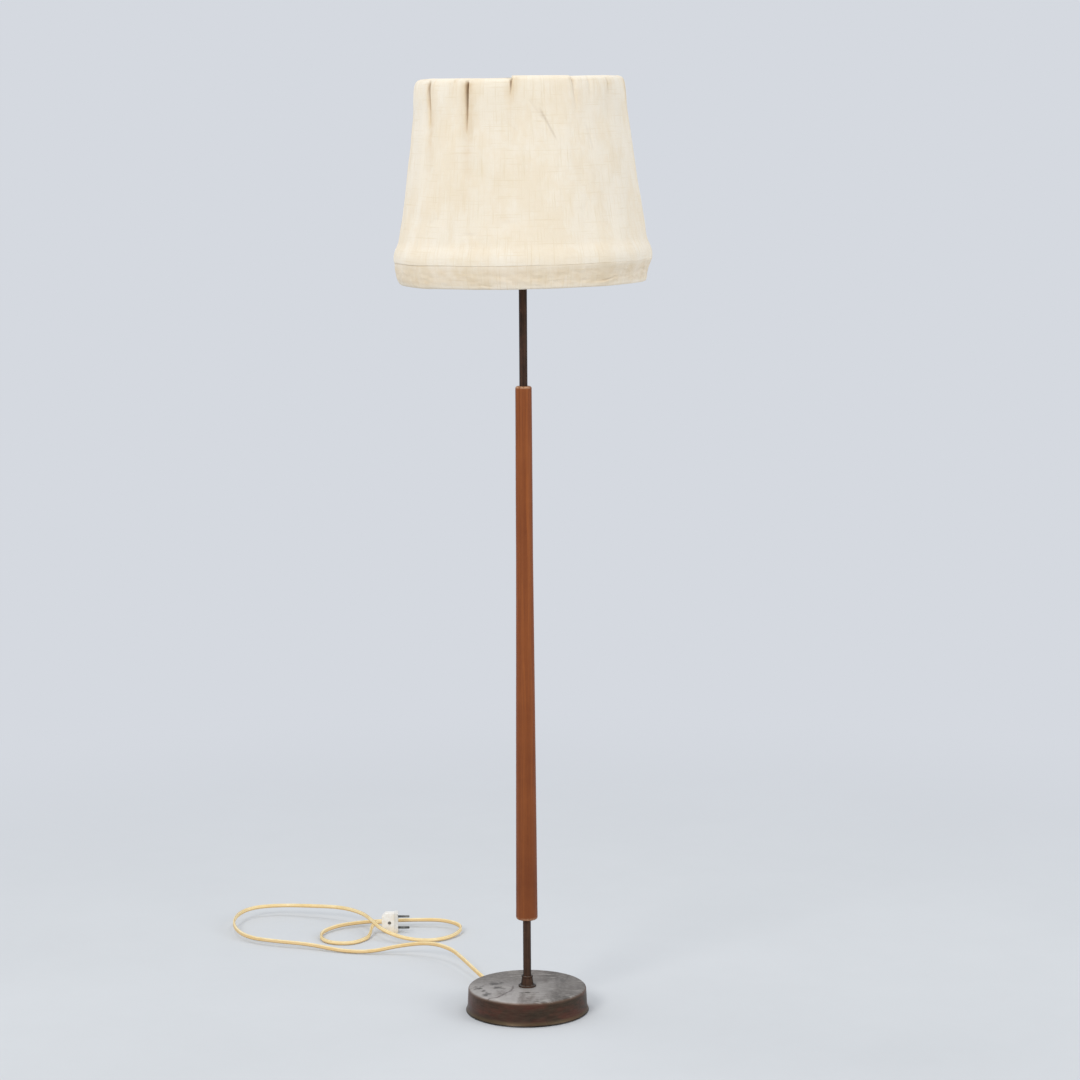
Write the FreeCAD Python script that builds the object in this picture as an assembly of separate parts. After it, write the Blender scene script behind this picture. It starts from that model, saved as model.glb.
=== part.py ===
"""Candlestick floor lamp: round metal base, teak and brass stem, pleated linen shade, flex and plug.

Millimetres, +Z up, origin on the floor under the centre of the base. The front of the lamp looks
towards -Y and the mains flex leaves the base at the back.

The stem is a stack that one hollow steel tie tube clamps: base weight, base cover, collar, lower
tube, wooden shaft, upper tube and ferrule sit on each other between the lock nut under the weight
and the lampholder that is screwed on the tie tube's top.
"""

import FreeCAD, Part
import math
import os
from FreeCAD import Vector

# ---------------------------------------------------------------- fits
SLIDE_FIT = 0.05        # radial play between a tube and what it is pushed into
THREAD_PLAY = 0.05      # radial play between two threads, which are drawn as plain cylinders
RUNNING_FIT = 0.06      # radial play round a turning spindle
SEAT_GAP = 0.1          # axial play on each side of the shade's fitter ring
BULB_PLAY = 0.3         # play between the bulb's cap and the lampholder
WELD_GAP = 0.05         # how far a shade wire passes from a ring that it only touches
CLOTH_PLAY = 0.1        # between the shade's wires and the cloth over them
TIE_CLEAR = 0.3         # radial play round the tie tube in the pieces that it clamps
WEIGHT_CLEAR = 3.4      # between the weight and the cover's skirt
BUSHING_CLEAR = 0.3     # between the bushing's flange and the cover's rim
LIP_CLEAR = 0.3         # between the screw sleeve and the shell's inner lip
INSULATOR_CLEAR = 0.2   # between the insulator and the shell

# ---------------------------------------------------------------- base
BASE_H = 37.0           # floor to the top of the cover
COVER_T = 1.2           # spun brass sheet
COVER_TOP_R = 89.6      # widest radius just under the rounded edge
COVER_EDGE_R = 4.0      # rounding between the top face and the skirt
COVER_DRAFT = 0.9       # the skirt widens this much from the edge down to the flare
COVER_FLARE = 2.9       # the flare adds this much at the bottom rim
COVER_FLARE_H = 13.0    # height of the flared part above the rim
COVER_FLARE_BOW = 0.9   # hollow of the flare
COVER_RIM_Z = 1.2       # the rim stays this far off the floor
FELT_T = 2.5
FELT_INSET = 1.0        # the felt is smaller than the weight all round
WEIGHT_CHAMFER = 4.0
WEIGHT_POCKET_R = 16.0  # round pocket under the weight, for the washer and the lock nut
WEIGHT_POCKET_TOP = 27.0
WASHER_R = 14.0
WASHER_T = 2.0
LOCKNUT_FLATS = 17.0
LOCKNUT_H = 6.0
LOCKNUT_BEVEL = 1.0
TIE_STICK_OUT = 1.5     # thread showing below the lock nut

# ---------------------------------------------------------------- stem
TIE_OD = 10.0           # hollow threaded steel tube
TIE_BORE = 8.0
TUBE_OD = 12.0          # brass sleeves over the tie tube
TUBE_BORE = 10.4
TUBE_SEAT = 4.0         # how far a sleeve sits in the collar and in the wood
COLLAR_H = 17.0
COLLAR_FLANGE_R = 13.0
COLLAR_FLANGE_T = 2.2
COLLAR_FLANGE_BOW = 0.4
COLLAR_STEP = 0.8       # slope between the flange and the cone
COLLAR_FOOT_R = 9.8
COLLAR_NECK_R = 7.9
COLLAR_BEAD_BOW = 0.8
COLLAR_BEAD_H = 3.0
LOWER_TUBE_SEEN = 88.0  # between the collar and the wood
WOOD_L = 809.0
WOOD_FOOT_R = 16.3
WOOD_WAIST_R = 12.7     # where the long taper ends
WOOD_WAIST_UP = 558.0   # above the wood's foot
WOOD_TOP_R = 12.15
WOOD_ROUND = 3.2        # rounding of both ends
WOOD_TAPER_BULGE = 0.1  # how far each side of the shaft bows out
UPPER_TUBE_SEEN = 212.0  # between the wood and the ferrule
FERRULE_R = 9.0
FERRULE_H = 6.0
FERRULE_CHAMFER = 1.0

# ---------------------------------------------------------------- lampholder
CAP_H = 27.0
CAP_FOOT_R = 9.5
CAP_R = 19.6
CAP_DOME_H = 12.0
CAP_DOME_BOW = 2.0
HOLDER_WALL = 2.0
HOLDER_LIP_H = 2.0
SHELL_H = 43.0
SHELL_R = 20.0
TIE_IN_HOLDER = 8.0     # thread engaged in the cap
INSULATOR_H = 12.0
SLEEVE_H = 24.0
SLEEVE_T = 0.6
CONTACT_W = 6.0
CONTACT_T = 0.8
CONTACT_CLEAR = 6.5     # between the ends of the contact strip and the screw sleeve
TERMINAL_R = 1.75
TERMINAL_L = 9.0
TERMINAL_HEAD_R = 3.0
TERMINAL_HEAD_H = 2.0
TERMINAL_OUT = 8.5      # terminal screws from the axis
CLAMP_RING_R = 25.5
CLAMP_RING_H = 5.0
CLAMP_RING_RIM = 3.0    # height of its full width, beside the fitter ring
CLAMP_RING_TAPER = 2.0
SPINDLE_R = 2.0
SPINDLE_IN = 7.0        # inner end of the switch spindle from the axis
SPINDLE_BOSS_WALL = 3.0
SPINDLE_BOSS_L = 3.2    # how far the boss stands out of the cap
KEY_AZ = 174.0
KEY_Z_UP = 18.5         # spindle above the cap's foot
KEY_ROOT = 25.0         # the key starts this far from the axis
KEY_NECK_R = 3.5
KEY_NECK_L = 4.0
KEY_WING_AT = 3.0       # the flat wing starts this far along the key
KEY_WING_L = 12.0
KEY_W = 16.0
KEY_T = 4.0
KEY_ROUND = 3.0

# ---------------------------------------------------------------- bulb
BULB_CAP_R = 13.2
BULB_CAP_H = 24.0
BULB_CAP_T = 0.6
BULB_CAP_CONE_H = 4.0   # tapered bottom of the screw cap
BULB_CAP_FLOOR_T = 0.4
BULB_CONTACT_R = 4.8
BULB_CONTACT_RIM = 1.5  # the cap's flat round the contact
BULB_CONTACT_H = 2.2
BULB_R = 30.0
BULB_NECK_R = 13.6
BULB_JOIN = 48.0        # degrees below the ball's equator where the neck runs into it
BULB_NECK_HOLLOW = 0.9
BULB_L = 105.0          # contact to the top of the glass
GLASS_T = 0.8
MOUNT_R = 4.0           # glass mount inside the bulb
MOUNT_FOOT_R = 5.5
MOUNT_TIP_R = 2.0
MOUNT_STEP_H = 12.0
MOUNT_H = 32.0

# ---------------------------------------------------------------- shade
SHADE_TILT = 0.85       # degrees, the +X side higher, as the shade sits on its ring
CLOTH_T = 0.8
# (below the shade's top edge, outer radius): rounded shoulder, long cone, flare to the seam, band
SHADE_OUTLINE = [(0.0, 146.6), (11.0, 149.6), (23.0, 154.0), (43.0, 155.5),
                 (234.0, 181.0), (263.0, 189.0)]
BAND_H = 32.0
BAND_FOOT_R = 179.0
BAND_BELLY = 2.0        # the band swells this much beyond the straight line, part of the way up
BAND_BELLY_UP = 0.4     # share of its height where it does
PLEATS = 12
PLEAT_DEPTH = [2.4, 2.0, 1.4, 0.7, 0.0, 0.0]  # fold depth at each level of the outline
WIRE = 3.0              # frame wire
RIBS = 6
RIB_START_AZ = 54.0
RIB_SHOULDER_DROP = 5.0  # a rib bends this far below the cloth's first shoulder
RIB_SLACK = [2.5, 1.2, 0.5]  # a rib's extra play from the cloth: shoulder, under it, flare
RIB_SEAM_BEND = (3.0, -5.0)  # heights of the rib's two bends beside the seam ring
SEAM_RING_SLACK = 0.5
ARMS = 3
ARM_BESIDE_RIB = 4.0    # degrees between an arm's weld and the rib beside it
FITTER_UP_SHELL = 19.0  # the fitter ring above the foot of the lampholder's shell
FITTER_DROP = 185.0     # the fitter ring below the shade's top edge
FITTER_R = 29.0
FITTER_BORE_PLAY = 0.6  # round the lampholder's threaded shell
FITTER_T = 1.5
ARM_ROOT_R = 27.5
ARM_BEND_RUN = 9.0      # both bends of an arm lie this far from its ends
ARM_BEND_DROP = 5.0

# ---------------------------------------------------------------- flex and plug
FLEX_W = 6.4            # flat twin flex
FLEX_T = 3.4
FLEX_BEND = 12.0        # bend of the flex under the tie tube
EXIT_AZ = 118.5
EXIT_Z = 10.0
BUSHING_R = 5.2
BUSHING_FLANGE_R = 7.6
BUSHING_FLANGE_T = 1.6
BUSHING_NOSE = 2.0      # sleeve showing outside the flange
BUSHING_IN = 12.0       # length of the sleeve inside the skirt
BUSHING_BORE_R = 3.6
CHANNEL_R = 5.6         # channel through the weight

PLUG_L = 27.0           # along the pins, without them
PLUG_H = 35.0           # the plug stands on its narrow edge
PLUG_T = 17.0
PLUG_FLANGE_L = 6.0
PLUG_BODY_H = 33.0
PLUG_BODY_T = 15.0
PLUG_TAIL_H = 20.0
PLUG_TAIL_L = 6.0
PLUG_ROUND = 1.2
PIN_D = 4.0
PIN_L = 19.0
PIN_PITCH = 19.0
PIN_TIP_ROUND = 1.2
PIN_ROOT_D = 5.2        # thicker root of each pin inside the plug
PIN_ROOT_L = 10.0
SCREW_HEAD_R = 2.9
SCREW_HEAD_H = 2.0
SCREW_HOLE_DEPTH = 4.5
SCREW_R = 1.5
SCREW_SLOT_W = 0.9
SCREW_TO_FACE = 14.0    # screw axis from the plug's pin face

# Route of the free flex: from the bushing's face over the floor to the plug's tail.
FLEX_ROUTE = [
    (-46.43, 85.51, 10.0), (-59.79, 110.12, 10.0), (-79.0, 147.0, 15.5), (-102.0, 198.0, 22.5),
    (-123.0, 250.0, 25.0), (-158.0, 288.0, 24.5), (-208.0, 307.0, 14.5), (-254.0, 305.0, 4.5),
    (-302.0, 314.0, 3.4), (-356.0, 340.0, 8.0), (-412.0, 355.0, 9.0), (-460.0, 381.0, 8.0),
    (-488.0, 425.0, 11.0), (-494.0, 482.0, 16.0), (-472.0, 536.0, 17.0), (-424.0, 551.0, 17.0),
    (-370.0, 535.0, 20.0), (-315.0, 514.0, 23.0), (-279.0, 474.0, 24.0), (-260.0, 427.0, 24.5),
    (-241.0, 387.0, 18.0), (-202.0, 365.0, 9.0), (-158.0, 370.0, 4.0), (-122.0, 398.0, 4.0),
    (-107.0, 440.0, 9.0), (-140.0, 470.0, 12.0), (-189.0, 470.0, 12.5), (-236.0, 474.0, 10.0),
    (-279.0, 477.0, 7.0), (-322.0, 454.0, 7.0), (-347.0, 414.0, 5.0), (-334.0, 368.0, 3.4),
    (-291.0, 357.0, 3.4), (-265.0, 388.0, 3.6), (-261.0, 410.0, 6.5), (-260.0, 428.0, 12.5),
    (-254.5, 438.5, 17.5), (-243.5, 438.5, 17.5),
]
PLUG_TAIL = FLEX_ROUTE[-1]

# ---------------------------------------------------------------- heights that follow
COLLAR_Z = BASE_H
LOWER_TUBE_Z = COLLAR_Z + COLLAR_H - TUBE_SEAT
WOOD_Z = COLLAR_Z + COLLAR_H + LOWER_TUBE_SEEN
WOOD_TOP_Z = WOOD_Z + WOOD_L
FERRULE_Z = WOOD_TOP_Z + UPPER_TUBE_SEEN
CAP_Z = FERRULE_Z + FERRULE_H
SHELL_Z = CAP_Z + CAP_H
INSULATOR_Z = SHELL_Z
SLEEVE_Z = INSULATOR_Z + INSULATOR_H
FITTER_Z = SHELL_Z + FITTER_UP_SHELL
SHADE_TOP_Z = FITTER_Z + FITTER_DROP
SEAM_Z = SHADE_TOP_Z - SHADE_OUTLINE[-1][0]
BAND_FOOT_Z = SEAM_Z - BAND_H
WASHER_Z = WEIGHT_POCKET_TOP - WASHER_T
LOCKNUT_Z = WASHER_Z - LOCKNUT_H
TIE_Z = LOCKNUT_Z - TIE_STICK_OUT
TIE_TOP_Z = CAP_Z + TIE_IN_HOLDER
KEY_Z = CAP_Z + KEY_Z_UP
BULB_Z = SLEEVE_Z + CONTACT_T + BULB_PLAY

# radii that follow
TIE_R = TIE_OD / 2
TUBE_R = TUBE_OD / 2
BORE_R = TIE_R + TIE_CLEAR
COVER_FLARE_R = COVER_TOP_R + COVER_DRAFT
COVER_RIM_R = COVER_FLARE_R + COVER_FLARE
WEIGHT_R = COVER_TOP_R - COVER_T - WEIGHT_CLEAR
FELT_R = WEIGHT_R - FELT_INSET
BUSHING_FLANGE_AT = COVER_RIM_R + BUSHING_CLEAR
EXIT_R = BUSHING_FLANGE_AT + BUSHING_FLANGE_T + BUSHING_NOSE
SLEEVE_R = BULB_CAP_R + BULB_PLAY
SEAM_R = SHADE_OUTLINE[-1][1]
BAND_BELLY_R = SEAM_R + (BAND_FOOT_R - SEAM_R) / 2 + BAND_BELLY
BAND_BELLY_Z = BAND_FOOT_Z + BAND_H * BAND_BELLY_UP

# wire centre lines just inside the cloth
WIRE_INSET = CLOTH_T + CLOTH_PLAY + WIRE / 2
TOP_RING_R = SHADE_OUTLINE[0][1] - PLEAT_DEPTH[0] - WIRE_INSET
TOP_RING_Z = SHADE_TOP_Z - WIRE / 2
SEAM_RING_R = SEAM_R - WIRE_INSET - SEAM_RING_SLACK
BOTTOM_RING_Z = BAND_FOOT_Z + WIRE / 2 + CLOTH_PLAY
BAND_SLOPE = (BAND_BELLY_R - BAND_FOOT_R) / (BAND_BELLY_Z - BAND_FOOT_Z)
BOTTOM_RING_R = BAND_FOOT_R - WIRE_INSET + min(0.0, BAND_SLOPE * (WIRE + CLOTH_PLAY))
ROUND_CUT = 1 - math.sqrt(0.5)  # a rounded corner's middle, as a share of its radius


# ---------------------------------------------------------------- helpers
def turned(*outline):
    """Solid of revolution. A point is (r, z); a pair of points is an arc through the first."""
    edges = []
    here = Vector(outline[0][0], 0, outline[0][1])
    for step in outline[1:] + outline[:1]:
        if isinstance(step[0], tuple):
            middle, end = (Vector(r, 0, z) for r, z in step)
            edges.append(Part.Arc(here, middle, end).toShape())
        else:
            end = Vector(step[0], 0, step[1])
            if here.isEqual(end, 1e-6):
                continue
            edges.append(Part.makeLine(here, end))
        here = end
    face = Part.Face(Part.Wire(edges))
    return face.revolve(Vector(), Vector(0, 0, 1), 360)


def bowed(start, end, bow):
    """Middle point of an arc between two (r, z) points; a positive bow lies right of the way."""
    dr, dz = end[0] - start[0], end[1] - start[1]
    span = math.hypot(dr, dz)
    return ((start[0] + end[0]) / 2 + bow * dz / span, (start[1] + end[1]) / 2 - bow * dr / span)


def ring(inner, outer, z, height):
    """Flat ring, or a tube, standing on z."""
    return Part.makeCylinder(outer, height, Vector(0, 0, z)).cut(
        Part.makeCylinder(inner, height, Vector(0, 0, z)))


def round_bar(radius, length, start, direction):
    return Part.makeCylinder(radius, length, start, direction)


def radial(azimuth):
    """Unit vector from the lamp's axis at an azimuth from +X towards +Y."""
    return Vector(math.cos(math.radians(azimuth)), math.sin(math.radians(azimuth)), 0)


def at(azimuth, r, z):
    return radial(azimuth) * r + Vector(0, 0, z)


def hexagon(flats, z, height):
    corner = flats / math.sqrt(3)
    points = [at(60 * i, corner, z) for i in range(7)]
    return Part.Face(Part.makePolygon(points)).extrude(Vector(0, 0, height))


def bent_path(points, radius=None):
    """Straight runs joined by tangent arcs; each arc is as large as its two runs allow."""
    points = [Vector(*p) for p in points]
    edges, radii, here = [], [], points[0]
    for before, corner, after in zip(points, points[1:], points[2:]):
        back, ahead = before - corner, after - corner
        half_turn = (math.pi - back.getAngle(ahead)) / 2
        reach = 0.45 * min(back.Length, ahead.Length)
        if radius:
            reach = min(reach, radius * math.tan(half_turn))
        bend = reach / math.tan(half_turn)
        back.normalize()
        ahead.normalize()
        inward = back + ahead
        inward.normalize()
        centre = corner + inward * (bend / math.cos(half_turn))
        start, end = corner + back * reach, corner + ahead * reach
        edges.append(Part.LineSegment(here, start).toShape())
        edges.append(Part.Arc(start, centre - inward * bend, end).toShape())
        radii.append(bend)
        here = end
    edges.append(Part.LineSegment(here, points[-1]).toShape())
    return Part.Wire(edges), radii


def swept(path, section):
    return path.makePipeShell([section], True, False)


def wire_rod(path, diameter=WIRE):
    """Round rod along a path."""
    start = path.Edges[0]
    along = start.tangentAt(start.FirstParameter)
    circle = Part.Circle(start.valueAt(start.FirstParameter), along, diameter / 2)
    return swept(path, Part.Wire(circle.toShape()))


def wire_ring(radius, z):
    return Part.makeTorus(radius, WIRE / 2, Vector(0, 0, z))


def seated(shape):
    """The shade sits slightly askew on its fitter ring."""
    leaned = shape.copy()
    leaned.rotate(Vector(0, 0, FITTER_Z), Vector(0, 1, 0), -SHADE_TILT)
    return leaned


# ---------------------------------------------------------------- base
def skirt_bore(radius):
    """Radial cutter through the rear of the base, where the flex comes out."""
    return round_bar(radius, EXIT_R, Vector(0, 0, EXIT_Z), radial(EXIT_AZ))


def base_cover():
    edge_z = BASE_H - COVER_EDGE_R
    flat_r = COVER_TOP_R - COVER_EDGE_R
    cut = COVER_EDGE_R * ROUND_CUT
    inner_cut = COVER_T + (COVER_EDGE_R - COVER_T) * ROUND_CUT
    flare = (COVER_FLARE_R, COVER_RIM_Z + COVER_FLARE_H)
    rim = (COVER_RIM_R, COVER_RIM_Z)
    inner_flare = (flare[0] - COVER_T, flare[1])
    inner_rim = (rim[0] - COVER_T, rim[1])
    shell = turned(
        (BORE_R, BASE_H), (flat_r, BASE_H),
        ((COVER_TOP_R - cut, BASE_H - cut), (COVER_TOP_R, edge_z)),
        flare, (bowed(flare, rim, COVER_FLARE_BOW), rim), inner_rim,
        (bowed(inner_rim, inner_flare, -COVER_FLARE_BOW), inner_flare),
        (COVER_TOP_R - COVER_T, edge_z),
        ((COVER_TOP_R - inner_cut, BASE_H - inner_cut), (flat_r, BASE_H - COVER_T)),
        (BORE_R, BASE_H - COVER_T))
    return shell.cut(skirt_bore(BUSHING_R + SLIDE_FIT))


def base_weight():
    top = BASE_H - COVER_T
    body = turned((BORE_R, top), (WEIGHT_R - WEIGHT_CHAMFER, top), (WEIGHT_R, top - WEIGHT_CHAMFER),
                  (WEIGHT_R, FELT_T), (WEIGHT_POCKET_R, FELT_T),
                  (WEIGHT_POCKET_R, WEIGHT_POCKET_TOP), (BORE_R, WEIGHT_POCKET_TOP))
    return body.cut(skirt_bore(CHANNEL_R))


def base_felt():
    return Part.makeCylinder(FELT_R, FELT_T)


def base_washer():
    return ring(BORE_R, WASHER_R, WASHER_Z, WASHER_T)


def base_locknut():
    nut = hexagon(LOCKNUT_FLATS, LOCKNUT_Z, LOCKNUT_H)
    nut = nut.cut(Part.makeCylinder(TIE_R + THREAD_PLAY, LOCKNUT_H, Vector(0, 0, LOCKNUT_Z)))
    corner = LOCKNUT_FLATS / math.sqrt(3)
    top = LOCKNUT_Z + LOCKNUT_H
    bevel = turned((0, LOCKNUT_Z), (LOCKNUT_FLATS / 2, LOCKNUT_Z),
                   (corner, LOCKNUT_Z + LOCKNUT_BEVEL), (corner, top), (0, top))
    return nut.common(bevel)


def cord_bushing():
    out = radial(EXIT_AZ)
    start = at(EXIT_AZ, EXIT_R, EXIT_Z)
    sleeve = round_bar(BUSHING_R, EXIT_R - BUSHING_FLANGE_AT + BUSHING_IN, start, out * -1)
    flange_at = at(EXIT_AZ, BUSHING_FLANGE_AT, EXIT_Z)
    flange = round_bar(BUSHING_FLANGE_R, BUSHING_FLANGE_T, flange_at, out)
    bore = round_bar(BUSHING_BORE_R, EXIT_R, start, out * -1)
    return sleeve.fuse(flange).removeSplitter().cut(bore)


# ---------------------------------------------------------------- stem
def stem_collar():
    z, top = COLLAR_Z, COLLAR_Z + COLLAR_H
    foot, flange_top = (COLLAR_FLANGE_R, z), (COLLAR_FLANGE_R, z + COLLAR_FLANGE_T)
    bead, bead_top = (COLLAR_NECK_R, top - COLLAR_BEAD_H), (COLLAR_NECK_R, top)
    return turned(
        (BORE_R, z), foot, (bowed(foot, flange_top, COLLAR_FLANGE_BOW), flange_top),
        (COLLAR_FOOT_R, flange_top[1] + COLLAR_STEP), bead,
        (bowed(bead, bead_top, COLLAR_BEAD_BOW), bead_top),
        (TUBE_R + SLIDE_FIT, top), (TUBE_R + SLIDE_FIT, top - TUBE_SEAT),
        (BORE_R, top - TUBE_SEAT))


def lower_tube():
    return ring(TUBE_BORE / 2, TUBE_R, LOWER_TUBE_Z, LOWER_TUBE_SEEN + 2 * TUBE_SEAT)


def upper_tube():
    z = WOOD_TOP_Z - TUBE_SEAT
    return ring(TUBE_BORE / 2, TUBE_R, z, FERRULE_Z - z)


def wood_shaft():
    foot, top = WOOD_Z, WOOD_TOP_Z
    seat_r = TUBE_R + SLIDE_FIT
    cut = WOOD_ROUND * ROUND_CUT
    low, high = (WOOD_FOOT_R, foot + WOOD_ROUND), (WOOD_TOP_R, top - WOOD_ROUND)
    waist = (WOOD_WAIST_R, foot + WOOD_WAIST_UP)
    return turned(
        (seat_r, foot), (WOOD_FOOT_R - WOOD_ROUND, foot), ((WOOD_FOOT_R - cut, foot + cut), low),
        (bowed(low, waist, WOOD_TAPER_BULGE), waist), (bowed(waist, high, WOOD_TAPER_BULGE), high),
        ((WOOD_TOP_R - cut, top - cut), (WOOD_TOP_R - WOOD_ROUND, top)),
        (seat_r, top), (seat_r, top - TUBE_SEAT), (BORE_R, top - TUBE_SEAT),
        (BORE_R, foot + TUBE_SEAT), (seat_r, foot + TUBE_SEAT))


def tie_tube():
    return ring(TIE_BORE / 2, TIE_R, TIE_Z, TIE_TOP_Z - TIE_Z)


def top_ferrule():
    z, top, cut = FERRULE_Z, CAP_Z, FERRULE_CHAMFER
    return turned((TIE_R + THREAD_PLAY, z), (FERRULE_R - cut, z), (FERRULE_R, z + cut),
                  (FERRULE_R, top - cut), (FERRULE_R - cut, top), (TIE_R + THREAD_PLAY, top))


# ---------------------------------------------------------------- lampholder
def holder_cap():
    bore, inner = TIE_R + THREAD_PLAY, CAP_R - HOLDER_WALL
    foot, dome = (CAP_FOOT_R, CAP_Z), (CAP_R, CAP_Z + CAP_DOME_H)
    floor = CAP_Z + TIE_IN_HOLDER
    cup = turned(
        (bore, CAP_Z), foot, (bowed(foot, dome, CAP_DOME_BOW), dome), (CAP_R, SHELL_Z),
        (inner, SHELL_Z), (inner, dome[1] + HOLDER_WALL / 2), (CAP_FOOT_R + HOLDER_WALL / 2, floor),
        (bore, floor))
    out = radial(KEY_AZ)
    boss_at = CAP_R - HOLDER_WALL / 2
    boss = round_bar(SPINDLE_R + SPINDLE_BOSS_WALL, CAP_R + SPINDLE_BOSS_L - boss_at,
                     at(KEY_AZ, boss_at, KEY_Z), out)
    hole = round_bar(SPINDLE_R + RUNNING_FIT, KEY_ROOT, Vector(0, 0, KEY_Z), out)
    return cup.fuse(boss).cut(hole)


def holder_shell():
    inner = SHELL_R - HOLDER_WALL
    tube = ring(inner, SHELL_R, SHELL_Z, SHELL_H)
    lip_z = SHELL_Z + SHELL_H - HOLDER_LIP_H
    lip = ring(SLEEVE_R + SLEEVE_T + LIP_CLEAR, inner, lip_z, HOLDER_LIP_H)
    return tube.fuse(lip).removeSplitter()


def holder_insulator():
    block_r = SHELL_R - HOLDER_WALL - INSULATOR_CLEAR
    block = Part.makeCylinder(block_r, INSULATOR_H, Vector(0, 0, INSULATOR_Z))
    for side in (-1, 1):
        hole = Part.makeCylinder(TERMINAL_R + THREAD_PLAY, INSULATOR_H,
                                 Vector(side * TERMINAL_OUT, 0, INSULATOR_Z))
        block = block.cut(hole)
    return block


def holder_screw_sleeve():
    return ring(SLEEVE_R, SLEEVE_R + SLEEVE_T, SLEEVE_Z, SLEEVE_H)


def centre_contact():
    width = 2 * (SLEEVE_R - CONTACT_CLEAR)
    strip = Part.makeBox(width, CONTACT_W, CONTACT_T)
    strip.translate(Vector(-width / 2, -CONTACT_W / 2, SLEEVE_Z))
    return strip


def terminal_screws():
    screws = []
    for side in (-1, 1):
        foot = Vector(side * TERMINAL_OUT, 0, INSULATOR_Z)
        head_foot = foot - Vector(0, 0, TERMINAL_HEAD_H)
        shaft = Part.makeCylinder(TERMINAL_R, TERMINAL_L, foot)
        head = Part.makeCylinder(TERMINAL_HEAD_R, TERMINAL_HEAD_H, head_foot)
        screws.append(shaft.fuse(head).removeSplitter())
    return Part.makeCompound(screws)


def clamp_ring(near_z, away):
    """Threaded ring on the holder's shell, its wide face at the fitter ring; away is 1 up, -1 down."""
    bore = SHELL_R + THREAD_PLAY
    far_z = near_z + away * CLAMP_RING_H
    return turned((bore, near_z), (CLAMP_RING_R, near_z), (CLAMP_RING_R, near_z + away * CLAMP_RING_RIM),
                  (CLAMP_RING_R - CLAMP_RING_TAPER, far_z), (bore, far_z))


def shade_nut(away):
    return clamp_ring(FITTER_Z + away * (FITTER_T / 2 + SEAT_GAP), away)


def switch_spindle():
    out = radial(KEY_AZ)
    return round_bar(SPINDLE_R, KEY_ROOT - SPINDLE_IN, at(KEY_AZ, SPINDLE_IN, KEY_Z), out)


def switch_key():
    """Flat wing on the spindle's end, modelled along +X and turned to its azimuth."""
    neck = round_bar(KEY_NECK_R, KEY_NECK_L, Vector(KEY_ROOT, 0, 0), Vector(1, 0, 0))
    corner = Vector(KEY_ROOT + KEY_WING_AT, -KEY_T / 2, -KEY_W / 2)
    wing = Part.makeBox(KEY_WING_L, KEY_T, KEY_W, corner)
    upright = [e for e in wing.Edges if abs(e.tangentAt(0).y) > 0.9]
    key = wing.makeFillet(KEY_ROUND, upright).fuse(neck)
    key.rotate(Vector(), Vector(0, 0, 1), KEY_AZ)
    key.translate(Vector(0, 0, KEY_Z))
    return key


# ---------------------------------------------------------------- bulb
def bulb_contact():
    return Part.makeCylinder(BULB_CONTACT_R, BULB_CONTACT_H, Vector(0, 0, BULB_Z))


def bulb_cap():
    z = BULB_Z + BULB_CONTACT_H
    top, cone_top = z + BULB_CAP_H, z + BULB_CAP_CONE_H
    floor = cone_top + BULB_CAP_FLOOR_T
    inner = BULB_CAP_R - BULB_CAP_T
    return turned((0, z), (BULB_CONTACT_R + BULB_CONTACT_RIM, z), (BULB_CAP_R, cone_top),
                  (BULB_CAP_R, top), (inner, top), (inner, floor), (0, floor))


def bulb_side(shrink):
    """Neck, bowed neck line, join, ball and top of the bulb's glass, drawn in by shrink."""
    foot = BULB_Z + BULB_CONTACT_H + BULB_CAP_H
    centre = BULB_Z + BULB_L - BULB_R
    ball = BULB_R - shrink
    below = math.radians(BULB_JOIN)
    neck = (BULB_NECK_R - shrink, foot)
    join = (ball * math.cos(below), centre - ball * math.sin(below))
    return neck, bowed(neck, join, -BULB_NECK_HOLLOW), join, (ball, centre), (0, centre + ball)


def bulb_glass():
    """Pear-shaped glass; its neck stands on the screw cap."""
    neck, waist, join, equator, top = bulb_side(0.0)
    inner_neck, inner_waist, inner_join, inner_equator, inner_top = bulb_side(GLASS_T)
    return turned(inner_neck, neck, (waist, join), (equator, top), inner_top,
                  (inner_equator, inner_join), (inner_waist, inner_neck))


def bulb_mount():
    foot = BULB_Z + BULB_CONTACT_H + BULB_CAP_CONE_H + BULB_CAP_FLOOR_T
    return turned((0, foot), (MOUNT_FOOT_R, foot), (MOUNT_R, foot + MOUNT_STEP_H),
                  (MOUNT_TIP_R, foot + MOUNT_H), (0, foot + MOUNT_H))


# ---------------------------------------------------------------- shade
def pleated_ring(radius, depth, z):
    """Closed wire of shallow arcs; each pleat's fold line lies depth further in."""
    pitch = 360.0 / PLEATS
    edges = []
    for i in range(PLEATS):
        start = at(i * pitch, radius - depth, z)
        middle = at((i + 0.5) * pitch, radius, z)
        end = at((i + 1) * pitch, radius - depth, z)
        edges.append(Part.Arc(start, middle, end).toShape())
    return Part.Wire(edges)


def pleated_skin(levels):
    """Cloth between its outer surface and the same surface one thickness further in."""
    outer = [pleated_ring(r, fold, z) for z, r, fold in levels]
    inner = [pleated_ring(r - CLOTH_T, fold, z) for z, r, fold in levels]
    return Part.makeLoft(outer, True, True).cut(Part.makeLoft(inner, True, True))


def shade_cloth():
    levels = [(SHADE_TOP_Z - down, r, fold) for (down, r), fold in zip(SHADE_OUTLINE, PLEAT_DEPTH)]
    return seated(pleated_skin(levels))


def shade_band():
    levels = [(SEAM_Z, SEAM_R, 0.0), (BAND_BELLY_Z, BAND_BELLY_R, 0.0),
              (BAND_FOOT_Z, BAND_FOOT_R, 0.0)]
    return seated(pleated_skin(levels))


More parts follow.
